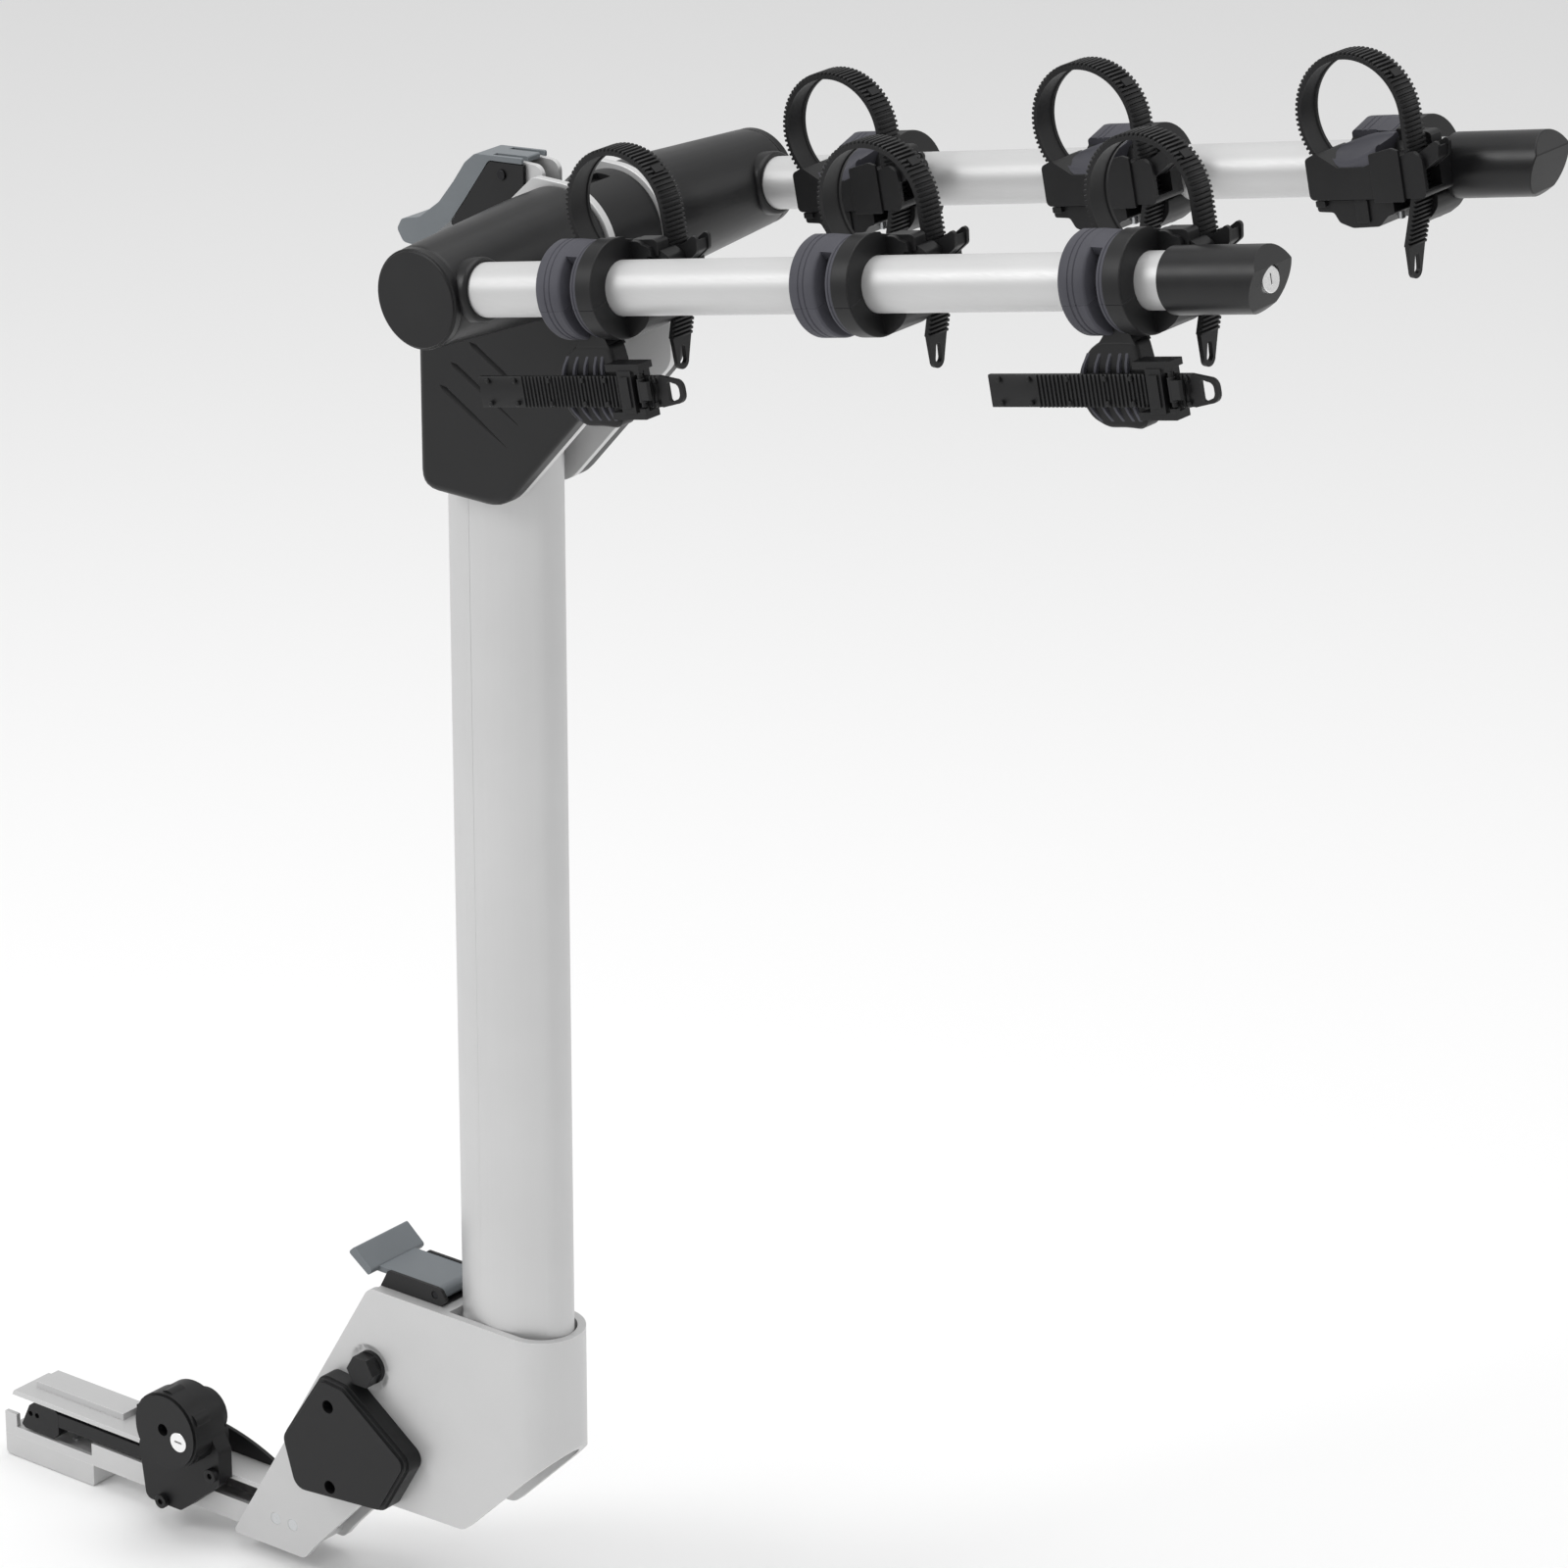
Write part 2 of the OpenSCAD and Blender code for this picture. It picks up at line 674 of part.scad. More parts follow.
// ---------- hub and arms ----------

module on_arms() {
    translate([hub_x, 0, hub_z]) rotate([0, -arm_tilt, 0]) children();
}

// Frame on an arm, s from the hub axis: +X along the arm, +Y towards the other arm.
module on_arm(side, s = 0) {
    on_arms() translate([s, side * arm_y, 0]) mirror([0, side > 0 ? 1 : 0, 0]) children();
}

module hub_tube() {
    color(steel) difference() {
        rod_y(hub, tube_r, -hub_half + 7, hub_half - 7);
        rod_y(hub, tube_r - 3, -hub_half, hub_half);
    }
}

// Black drum between the head plates, with a notch for each locked position.
module lock_drum() {
    color(black) difference() {
        rod_y(hub, drum_r, -plate_in + gap, plate_in - gap);
        rod_y(hub, tube_r, -30, 30);
        for (a = [0, 90]) translate([hub_x, 0, hub_z]) rotate([0, 181 + a, 0])
            box([drum_r - 4, -10, -5], [drum_r + over, 10, 5]);
    }
}

// Tapered shell from the head plate to the end cap; made on the left.
module hub_shell() {
    y_in = plate_out + 1.2;
    y_end = hub_half - 6;
    difference() {
        translate([hub_x, 0, hub_z]) rotate([90, 0, 0]) rotate_extrude($fn = 96)
            polygon([[tube_r + 0.3, y_in], [34.5, y_in], [34.8, y_in + 2], [34.2, y_in + 26],
                     [28.4, y_end - 2], [27.6, y_end], [tube_r + 0.3, y_end]]);
        on_arm(LEFT) rod_x(arm_r + 0.3, 0, 60);
    }
}

module hub_shell_left() {
    color(black) hub_shell();
}

module hub_shell_right() {
    color(black) mirror([0, 1, 0]) hub_shell();
}

module end_caps() {
    color(black) both_sides() difference() {
        union() {
            rod_y(hub, 28, hub_half - 6, hub_half - 1.2);
            rod_y(hub, 26.8, hub_half - 1.21, hub_half);
            rod_y(hub, tube_r - 3.1, hub_half - 20, hub_half - 6);
        }
        rod_y(hub, tube_r - 6, hub_half - 21, hub_half - 8);
    }
}

module arm(side) {
    color(silver) difference() {
        on_arm(side) difference() {
            rod_x(arm_r, 12, arm_len + 6);
            rod_x(arm_r - 1.8, 11, arm_len + 7);
        }
        rod_y(hub, tube_r, -150, 150);
    }
}

// Faceted end plug: the end face leans back towards its foot.
module arm_plug(side) {
    plug_r = 17.4;
    color(black) on_arm(side) difference() {
        union() {
            intersection() {
                rod_x(plug_r, arm_len, plug_end);
                plate(-20, 20) polygon([[arm_len, -20], [plug_end - 16, -20], [plug_end - 9, -14],
                                        [plug_end, 7], [plug_end - 4, 20], [arm_len, 20]]);
            }
            rod_x(arm_r - 1.85, arm_len - 22, arm_len + 1);
        }
        difference() {
            rod_x(arm_r + 0.05, arm_len - 1, arm_len + 6);
            rod_x(arm_r - 1.85, arm_len - 2, arm_len + 7);
        }
        if (side == LEFT) rod_x(7 + eps, plug_end - 20, plug_end + 5);
    }
}

module plug_lock_core() {
    color("#e4e4e4") on_arm(LEFT) difference() {
        rod_x(7, plug_end - 19, plug_end - 2.2);
        box([plug_end - 5, -0.5, -3], [plug_end, 0.5, 3]);
    }
}

// ---------- cradles ----------

cradle_s = [for (i = [0:2]) cradle_first + i * cradle_pitch];
slot_x = [-2.6, 4.2];        // open ring between the two halves of a cradle
split_z = -6;                // where the clamp meets the cradle body
screw_x = [-26, 13];
pin_at = [37.5, 9];          // buckle tab pin

module all_cradles() {
    for (side = [LEFT, RIGHT], s = cradle_s) on_arm(side, s) children();
}

module arm_sleeve(r, x0, x1) {
    difference() {
        rod_x(r, x0, x1);
        rod_x(arm_r + 0.15, x0 - over, x1 + over);
    }
}

module cradle_body() {
    difference() {
        union() {
            arm_sleeve(24, -19.5, slot_x[0]);
            arm_sleeve(24, slot_x[1], 12);
            arm_sleeve(cradle_r, 12, 19.5);
            // inner block with the valley for the frame tube
            plate(14, block_in) polygon(rounded(
                [[-32, -8], [42, -8], [42, 13], [36, 17], [27, 14], [19, 14], [4, 9], [-12, 9],
                 [-25, 17], [-32, 14]], [3, 3, 3, 3, 0, 0, 0, 0, 3, 3]));
            plate(10, 20) polygon(rounded([[12, 0], [34, 0], [33, 18], [26, 26], [14, 26]],
                                          [0, 3, 5, 7, 5]));
        }
        rod_x(arm_r + 0.15, -50, 50);
        box([-50, -40, -50], [11.9, 14, split_z]);
        box([-50, -40, -50], [50, 13.9, split_z]);
        box([-50, 13.8, -50], [50, 60, -8]);
        rod_x(17.6, 30, 60);
        // passage for the neck of an anti-sway cradle
        box([slot_x[0], -30, -30], [slot_x[1], 20.5, 30]);
        // strap passage through the buckle, and the strap's root
        box([29.4, strap_y - strap_w / 2 - 0.4, -20], [34.6, strap_y + strap_w / 2 + 0.4, 40]);
        intersection() {
            translate([0, 0, loop_z]) difference() {
                rod_y([0, 0], loop_r + 0.2, strap_y - strap_w / 2 - 0.4, strap_y + strap_w / 2 + 0.4);
                rod_y([0, 0], loop_r - strap_t - 0.2, strap_y - strap_w, strap_y + strap_w);
            }
            box([-60, 0, -20], [-18, 60, 60]);
        }
        // seat of the buckle tab
        box([34, strap_y - 6.4, -4], [45, strap_y + 6.4, 30]);
        rod_y(pin_at, 1.5 + eps, strap_y - 8.5, strap_y + 8.5);
        for (x = screw_x) translate([x, 26, -30]) cylinder(r = 2, h = 32);
    }
}

module cradle_bodies() {
    color(black) all_cradles() cradle_body();
}

// Slate rubber: the thick front ring, the thin rear ring and the saddle pad.
module cradle_pads() {
    color(rubber) all_cradles() {
        difference() {
            union() {
                rod_x(cradle_r, -19.5, slot_x[0]);
                rod_x(26, slot_x[1], 8.5);
            }
            rod_x(24, -21, 12);
            box([-30, 13.9, -30], [20, 40, 30]);
            box([-30, -30, -30], [20, 40, split_z]);
        }
        difference() {
            plate(14.2, block_in - 0.5) polygon([[-25, 17.2], [-12, 9.2], [-2.7, 9.2], [-2.7, 12],
                                               [-11, 12], [-22, 19.5], [-25, 19.5]]);
            rod_x(24.2, -30, 0);
            translate([0, 0, loop_z]) rod_y([0, 0], loop_r + 0.3, strap_y - strap_w / 2 - 0.5,
                                            strap_y + strap_w / 2 + 0.5);
        }
    }
}

module cradle_clamps() {
    color(black) all_cradles() difference() {
        union() {
            rod_x(cradle_r, -19.5, 19.5);
            plate(5, block_in - 2) polygon(rounded([[-32, -9], [18, -9], [18, -16], [8, -24],
                                                    [-12, -24], [-22, -16], [-32, -14]],
                                                   [0, 0, 3, 4, 4, 4, 2]));
        }
        rod_x(arm_r + 0.15, -50, 50);
        box([-50, -40, split_z - 0.2], [50, 13.8, 40]);
        box([-50, 13.7, -8.2], [50, 60, 40]);
        box([slot_x[0], -30, -40], [slot_x[1], 60, 40]);
        for (x = screw_x) translate([x, 26, -30]) cylinder(r = 2, h = 32);
    }
}

module cradle_screws() {
    color(steel) all_cradles() for (x = screw_x) {
        translate([x, 26, x < 0 ? -15 : -22]) cylinder(r = 2, h = x < 0 ? 14 : 21);
    }
}

// Loop over the frame tube, then down through the buckle to a slanted tail.
module strap_loop() {
    w = strap_w;
    inner_r = loop_r - strap_t;
    plate(strap_y - w / 2, strap_y + w / 2) polygon(concat(
        [[25.5, -34], [loop_r, -9]], arc([0, loop_z], loop_r, 0, 232, 58),
        arc([0, loop_z], inner_r, 232, 0, 58), [[inner_r, -9], [22.5, -34]]));
    difference() {
        plate(strap_y - 6, strap_y + 6) polygon([[25.6, -33], [23, -51], [20, -51], [23, -33]]);
        translate([0, strap_y, 0]) box([10, -3.5, -48], [40, 3.5, -37]);
    }
}

module cradle_straps() {
    color(black) all_cradles() strap_loop();
}

module buckle_tab(side, i) {
    color(black) on_arm(side, cradle_s[i]) difference() {
        plate(strap_y - 6, strap_y + 6) union() {
            translate(pin_at) circle(3.2);
            polygon(rounded([pin_at + [-2.6, -1], pin_at + [3, -1], pin_at + [7, 9], pin_at + [6, 16],
                             pin_at + [3, 16], pin_at + [-2.6, 6]], [1, 1, 3, 1, 1, 1]));
        }
        rod_y(pin_at, 1.5, strap_y - 9, strap_y + 9);
    }
    color(steel) on_arm(side, cradle_s[i]) rod_y(pin_at, 1.5, strap_y - 8.4, strap_y + 8.4);
}

// ---------- anti-sway cradles ----------

sway_z = -51;                // middle of the pad and its strap
sway_y = -9;                 // pad face, outward from the arm axis
sway_pin = [36.5, -18.5];    // tab pin, x and y

module sway_cradle(s) {
    color(black) on_arm(LEFT, s) difference() {
        union() {
            // open ring round the arm, in the slot of the cradle
            difference() {
                rod_x(19, slot_x[0] + gap, slot_x[1] - gap);
                rod_x(arm_r + 0.3, -10, 10);
                rotate([45, 0, 0]) box([-10, -30, 0], [10, 8, 30]);
            }
            box([slot_x[0] + gap, -10, -32], [slot_x[1] - gap, 8, -16]);
            box([-14, -10, -34], [6, 6, -28]);
            plate(sway_y, 4) polygon(rounded([[-26, -34], [-16, -28.5], [8, -28.5], [10, -40],
                                              [10, -72], [-20, -73], [-28, -62], [-30, -48]],
                                             [6, 6, 4, 4, 6, 8, 8, 8]));
            // buckle frame at the rear of the pad
            plate(sway_y - 12, 2) polygon(rounded([[9, -62], [24, -62], [24, -66.5], [43, -66.5],
                                                   [43, -35.5], [24, -35.5], [24, -40], [9, -40]],
                                                  [0, 0, 2, 2, 2, 2, 0, 0]));
        }
        // strap passage
        box([5, sway_y - 7.4, sway_z - 9], [50, sway_y - 2.6, sway_z + 9]);
        box([-31, sway_y - 13, -80], [20, sway_y, -28]);
        // room for the tab
        box([30, sway_y - 13, sway_z - 7], [45, sway_y - 7, sway_z + 7]);
        translate([sway_pin[0], sway_pin[1], sway_z - 10]) cylinder(r = 1.5 + eps, h = 20);
    }
}

module sway_strap(s) {
    color(black) on_arm(LEFT, s) {
        box([-78, sway_y - 6.5, sway_z - 8.5], [52, sway_y - 3.5, sway_z + 8.5]);
        difference() {
            box([51.9, sway_y - 6.5, sway_z - 8], [65, sway_y - 3.5, sway_z + 8]);
            box([55, sway_y - 7, sway_z - 5.5], [62.5, sway_y - 3, sway_z + 5.5]);
        }
    }
}

module sway_tab(s) {
    color(black) on_arm(LEFT, s) {
        translate([sway_pin[0], sway_pin[1], sway_z - 6.5]) cylinder(r = 2.4, h = 13);
        translate([sway_pin[0], sway_pin[1], sway_z - 9]) cylinder(r = 1.5, h = 18);
        box([sway_pin[0], sway_pin[1] - 2.4, sway_z - 6.5],
            [sway_pin[0] + 12, sway_pin[1] + 0.2, sway_z + 6.5]);
    }
}

stinger_tube();
adapter_blocks();
stinger_fasteners();
bracket_plates();
tilt_pivot_bolt();
knob_housing();
guard_plate();
knob_housing_screws();
pin_spring();
hitch_knob();
knob_pinion();
knob_lock_core();
draw_rod();
wedge_block();
hitch_latch_pin();
base_housing();
mast_tube();
pivot_covers();
cover_screws();
latch_bolt();
lever_body();
lever_pin();
head_plates();
side_cover_left();
side_cover_right();
head_bolts();
release_bracket();
release_pin();
hub_bushes();
tilt_lever();
tilt_latch();
release_lever();
release_core();
hub_tube();
lock_drum();
hub_shell_left();
hub_shell_right();
end_caps();
arm(LEFT);  // arm_left
arm(RIGHT);  // arm_right
arm_plug(LEFT);  // arm_plug_left
arm_plug(RIGHT);  // arm_plug_right
plug_lock_core();
cradle_bodies();
cradle_pads();
cradle_clamps();
cradle_screws();
cradle_straps();
sway_cradle(cradle_s[0]);  // sway_cradle_front
sway_strap(cradle_s[0]);  // sway_strap_front
sway_cradle(cradle_s[2]);  // sway_cradle_rear
sway_strap(cradle_s[2]);  // sway_strap_rear
buckle_tab(LEFT, 0);  // buckle_tab_l1
buckle_tab(LEFT, 1);  // buckle_tab_l2
buckle_tab(LEFT, 2);  // buckle_tab_l3
buckle_tab(RIGHT, 0);  // buckle_tab_r1
buckle_tab(RIGHT, 1);  // buckle_tab_r2
buckle_tab(RIGHT, 2);  // buckle_tab_r3
sway_tab(cradle_s[0]);  // sway_tab_front
sway_tab(cradle_s[2]);  // sway_tab_rear
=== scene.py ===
"""Looks for the hitch mounted bike rack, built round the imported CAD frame.

Every length is in metres, in the row frame: origin on the hitch pin axis, +X away
from the car, +Z up. Left is -Y. Pieces take their places from the CAD nodes' boxes.
"""

import json
import math

import bmesh
import bpy
from mathutils import Matrix, Vector

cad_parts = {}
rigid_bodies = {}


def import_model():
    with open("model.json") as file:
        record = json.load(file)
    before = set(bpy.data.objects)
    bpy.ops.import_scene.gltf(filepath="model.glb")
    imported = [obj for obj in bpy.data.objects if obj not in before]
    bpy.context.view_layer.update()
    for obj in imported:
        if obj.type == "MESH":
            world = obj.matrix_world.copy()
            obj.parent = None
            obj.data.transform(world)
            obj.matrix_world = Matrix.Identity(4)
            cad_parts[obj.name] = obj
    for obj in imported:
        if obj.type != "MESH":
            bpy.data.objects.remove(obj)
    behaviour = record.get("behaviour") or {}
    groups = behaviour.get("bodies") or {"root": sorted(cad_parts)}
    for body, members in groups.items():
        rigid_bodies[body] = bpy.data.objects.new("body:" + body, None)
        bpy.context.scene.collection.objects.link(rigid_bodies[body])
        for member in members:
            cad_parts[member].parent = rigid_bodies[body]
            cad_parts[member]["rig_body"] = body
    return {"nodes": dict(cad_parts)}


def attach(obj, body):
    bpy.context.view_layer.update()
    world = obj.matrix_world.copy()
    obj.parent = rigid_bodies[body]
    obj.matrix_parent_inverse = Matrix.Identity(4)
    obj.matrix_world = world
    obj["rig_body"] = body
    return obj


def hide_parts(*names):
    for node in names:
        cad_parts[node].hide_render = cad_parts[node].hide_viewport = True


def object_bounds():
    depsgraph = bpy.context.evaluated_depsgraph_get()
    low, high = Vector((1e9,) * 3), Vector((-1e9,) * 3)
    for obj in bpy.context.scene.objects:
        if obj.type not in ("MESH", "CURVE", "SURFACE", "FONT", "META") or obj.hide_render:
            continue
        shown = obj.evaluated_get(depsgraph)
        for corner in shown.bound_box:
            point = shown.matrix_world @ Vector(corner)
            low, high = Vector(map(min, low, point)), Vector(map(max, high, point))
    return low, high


MM = 0.001

for old in list(bpy.data.objects):
    bpy.data.objects.remove(old)

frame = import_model()
cad_low, cad_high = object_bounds()
NODES = frame["nodes"]
SCENE = bpy.context.scene


# ---------------------------------------------------------------- materials

def new_material(name, colour, roughness, metallic=0.0, specular=0.5):
    """A Principled material; returns it with its tree and shader."""
    mat = bpy.data.materials.new(name)
    mat.use_nodes = True
    tree = mat.node_tree
    shader = tree.nodes["Principled BSDF"]
    shader.inputs["Base Color"].default_value = (*colour, 1)
    shader.inputs["Roughness"].default_value = roughness
    shader.inputs["Metallic"].default_value = metallic
    shader.inputs["Specular IOR Level"].default_value = specular
    return mat, tree, shader


def add(tree, kind, **values):
    """Adds a shader node and sets its inputs and properties by name."""
    node = tree.nodes.new(kind)
    for key, value in values.items():
        label = key.replace("_", " ").title()
        if label in node.inputs:
            node.inputs[label].default_value = value
        else:
            setattr(node, key, value)
    return node


def object_space(tree, stretch=(1, 1, 1)):
    """Object coordinates, which are the row frame in metres, scaled per axis."""
    coords = tree.nodes.new("ShaderNodeTexCoord")
    mapping = tree.nodes.new("ShaderNodeMapping")
    mapping.inputs["Scale"].default_value = stretch
    tree.links.new(coords.outputs["Object"], mapping.inputs["Vector"])
    return mapping.outputs["Vector"]


def noise(tree, vector, scale, detail=2.0, roughness=0.5):
    node = add(tree, "ShaderNodeTexNoise", scale=scale, detail=detail, roughness=roughness)
    tree.links.new(vector, node.inputs["Vector"])
    return node.outputs["Fac"]


def ramp(tree, value, low, high, out_low=0.0, out_high=1.0):
    """Maps value from low..high to out_low..out_high, clamped."""
    node = tree.nodes.new("ShaderNodeMapRange")
    node.inputs["From Min"].default_value = low
    node.inputs["From Max"].default_value = high
    node.inputs["To Min"].default_value = out_low
    node.inputs["To Max"].default_value = out_high
    tree.links.new(value, node.inputs["Value"])
    return node.outputs["Result"]


def mix_colours(tree, factor, first, second):
    node = tree.nodes.new("ShaderNodeMix")
    node.data_type = "RGBA"
    for socket, value in ((node.inputs[6], first), (node.inputs[7], second)):
        if isinstance(value, tuple):
            socket.default_value = (*value, 1)
        else:
            tree.links.new(value, socket)
    tree.links.new(factor, node.inputs[0])
    return node.outputs[2]


def painted_edge_highlight(tree, size):
    """1 along convex edges and 0 elsewhere, from how a bevelled normal turns: the mask where a painted
    highlight brightens the edges.
    """
    bevel = add(tree, "ShaderNodeBevel", radius=size)
    bevel.samples = 4
    geometry = tree.nodes.new("ShaderNodeNewGeometry")
    dot = tree.nodes.new("ShaderNodeVectorMath")
    dot.operation = "DOT_PRODUCT"
    tree.links.new(bevel.outputs["Normal"], dot.inputs[0])
    tree.links.new(geometry.outputs["Normal"], dot.inputs[1])
    return ramp(tree, dot.outputs["Value"], 0.985, 0.8, 0.0, 1.0)


def bump(tree, shader, height, distance, strength=1.0):
    node = add(tree, "ShaderNodeBump", strength=strength, distance=distance)
    tree.links.new(height, node.inputs["Height"])
    previous = shader.inputs["Normal"]
    if previous.is_linked:
        tree.links.new(previous.links[0].from_socket, node.inputs["Normal"])
    tree.links.new(node.outputs["Normal"], previous)


def aluminium(name, grain, colour=(0.60, 0.60, 0.60), roughness=0.42):
    """Clear anodised aluminium, with die lines along the axis where grain is small."""
    mat, tree, shader = new_material(name, colour, roughness, metallic=0.45)
    fine = noise(tree, object_space(tree, grain), 1.0, 3.0, 0.6)
    cloud = noise(tree, object_space(tree), 14.0, 3.0, 0.55)
    # convex edges are painted paler, towards 0.75 grey: a painted edge highlight
    edge_glint = painted_edge_highlight(tree, 0.0006)
    tinted = mix_colours(tree, ramp(tree, cloud, 0.35, 0.7), colour,
                         tuple(c * 0.965 for c in colour))
    bright = mix_colours(tree, edge_glint, tinted, (0.75, 0.75, 0.75))
    tree.links.new(bright, shader.inputs["Base Color"])
    rough = ramp(tree, fine, 0.3, 0.7, roughness - 0.04, roughness + 0.06)
    tree.links.new(rough, shader.inputs["Roughness"])
    bump(tree, shader, fine, 0.00002, 0.5)
    return mat


def moulded(name, colour, roughness, grain=0.0007, depth=0.00003, lift=1.35):
    """Moulded plastic: spark-eroded grain, slight bloom, and edges painted paler as a painted highlight.
    """
    mat, tree, shader = new_material(name, colour, roughness, specular=0.30)
    place = object_space(tree)
    pits = noise(tree, place, 1.0 / grain, 2.0, 0.65)
    bloom = noise(tree, place, 22.0, 4.0, 0.6)
    edge_glint = painted_edge_highlight(tree, 0.0005)
    paler = tuple(min(1.0, c * lift + 0.001) for c in colour)
    mottled = mix_colours(tree, ramp(tree, bloom, 0.4, 0.75), colour, paler)
    # edges painted paler along the bevel mask: a painted highlight
    edge_lit_colour = mix_colours(tree, ramp(tree, edge_glint, 0.0, 1.0, 0.0, 0.6), mottled,
                          tuple(min(1.0, c * 1.9 + 0.012) for c in colour))
    tree.links.new(edge_lit_colour, shader.inputs["Base Color"])
    tree.links.new(ramp(tree, bloom, 0.3, 0.75, roughness - 0.05, roughness + 0.08),
                   shader.inputs["Roughness"])
    bump(tree, shader, pits, depth, 0.7)
    return mat


def zinc(name, colour=(0.62, 0.63, 0.64), roughness=0.33):
    """Zinc plated steel with fine turned streaks and spangle."""
    mat, tree, shader = new_material(name, colour, roughness, metallic=1.0)
    place = object_space(tree)
    spangle = noise(tree, place, 900.0, 3.0, 0.7)
    tree.links.new(ramp(tree, spangle, 0.3, 0.7, roughness - 0.08, roughness + 0.12),
                   shader.inputs["Roughness"])
    bump(tree, shader, spangle, 0.00001, 0.5)
    return mat


ALONG_Z = (1500, 1500, 12)
ALONG_X = (12, 1500, 1500)
ALL_WAYS = (900, 900, 900)
MAST_ALU = aluminium("mast_aluminium", ALONG_Z)
SHANK_ALU = aluminium("shank_aluminium", ALONG_X)
ARM_ALU = aluminium("arm_aluminium", ALONG_X, roughness=0.48)
PLATE_ALU = aluminium("plate_aluminium", ALL_WAYS, roughness=0.42)
BLACK = moulded("black_plastic", (0.0075, 0.0075, 0.008), 0.42)
SHELL_BLACK = moulded("shell_plastic", (0.008, 0.008, 0.0085), 0.34, grain=0.0010)
RUBBER = moulded("slate_rubber", (0.058, 0.058, 0.070), 0.62, grain=0.0005)
STRAP_RUBBER = moulded("strap_rubber", (0.008, 0.008, 0.0085), 0.48, grain=0.0006)
GREY = moulded("grey_plastic", (0.155, 0.170, 0.182), 0.40, grain=0.0012, lift=1.1)
STEEL = zinc("zinc_steel")
# dark steel: the cover screws' own colour, and painted shade on the lever and release pins, which stand
# for dark shaded holes
BLACK_STEEL_AND_HOLE_SHADE = zinc("black_steel_and_hole_shade", (0.03, 0.03, 0.032), 0.4)
LOCK = zinc("lock_metal", (0.88, 0.88, 0.88), 0.22)
WHITE = moulded("bush_plastic", (0.75, 0.74, 0.70), 0.45, lift=1.05)

FINISH = {
    MAST_ALU: ["mast_tube"],
    SHANK_ALU: ["stinger_tube", "adapter_blocks"],
    ARM_ALU: ["arm_left", "arm_right"],
    PLATE_ALU: ["bracket_plates", "base_housing", "head_plates", "release_bracket"],
    BLACK: ["knob_housing", "guard_plate", "knob_housing_screws", "hitch_knob", "draw_rod",
            "wedge_block", "latch_bolt", "lever_body", "side_cover_left", "side_cover_right",
            "release_core", "lock_drum", "cradle_bodies", "cradle_clamps", "pivot_covers",
            "sway_cradle_front", "sway_cradle_rear",
            "buckle_tab_l1", "buckle_tab_l2", "buckle_tab_l3",
            "buckle_tab_r1", "buckle_tab_r2", "buckle_tab_r3",
            "sway_tab_front", "sway_tab_rear"],
    SHELL_BLACK: ["hub_shell_left", "hub_shell_right", "end_caps", "arm_plug_left",
                  "arm_plug_right"],
    STRAP_RUBBER: ["cradle_straps", "sway_strap_front", "sway_strap_rear"],
    RUBBER: ["cradle_pads"],
    GREY: ["tilt_lever", "release_lever"],
    STEEL: ["stinger_fasteners", "tilt_pivot_bolt", "pin_spring", "knob_pinion",
            "hitch_latch_pin", "head_bolts", "tilt_latch", "hub_tube", "cradle_screws"],
    # lever_pin and release_pin are painted dark as painted shade for the holes they sit in
    BLACK_STEEL_AND_HOLE_SHADE: ["cover_screws", "lever_pin", "release_pin"],
    LOCK: ["knob_lock_core", "plug_lock_core"],
    WHITE: ["hub_bushes"],
}
MATERIAL_OF = {node: mat for mat, names in FINISH.items() for node in names}


def paint(obj, material):
    obj.data.materials.clear()
    obj.data.materials.append(material)


# ---------------------------------------------------------------- mesh helpers

WELD = 2e-6                         # vertices of a CAD mesh this close are one
FLAT_ANGLE = math.radians(0.6)      # faces that meet at less than this are one
EDGE_ANGLE = math.radians(28)       # an edge that turns more than this is rounded
CAD_CREASE = math.radians(50)       # a CAD mesh shades as sharp past this
PIECE_CREASE = math.radians(42)     # a piece built here shades as sharp past this


def soften(node, width):
    """A copy of a CAD node with its sharp edges rounded, which stands for the node."""
    source = NODES[node]
    mesh = source.data.copy()
    obj = bpy.data.objects.new(node + "_soft", mesh)
    SCENE.collection.objects.link(obj)
    bm = bmesh.new()
    bm.from_mesh(mesh)
    bmesh.ops.remove_doubles(bm, verts=bm.verts, dist=WELD)
    bmesh.ops.dissolve_limit(bm, angle_limit=FLAT_ANGLE, verts=bm.verts, edges=bm.edges)
    for face in bm.faces:
        face.smooth = True
    bm.to_mesh(mesh)
    bm.free()
    bevel = obj.modifiers.new("edges", "BEVEL")
    bevel.width = width * MM
    bevel.segments = 3
    bevel.limit_method = "ANGLE"
    bevel.angle_limit = EDGE_ANGLE
    bevel.harden_normals = False
    bevel.miter_outer = "MITER_ARC"
    even = obj.modifiers.new("shading", "WEIGHTED_NORMAL")
    even.keep_sharp = True
    mesh.set_sharp_from_angle(angle=CAD_CREASE)
    paint(obj, MATERIAL_OF[node])
    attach(obj, source["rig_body"])
    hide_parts(node)
    return obj


for node, obj in NODES.items():
    paint(obj, MATERIAL_OF[node])


# ---------------------------------------------------------------- shapes

HUB = Vector((0.452, 0, 0.864))
TILT = math.radians(11.8)
ARM_Y = 0.1263
LEFT, RIGHT = -1, 1
CRADLES = [0.111, 0.285, 0.459]


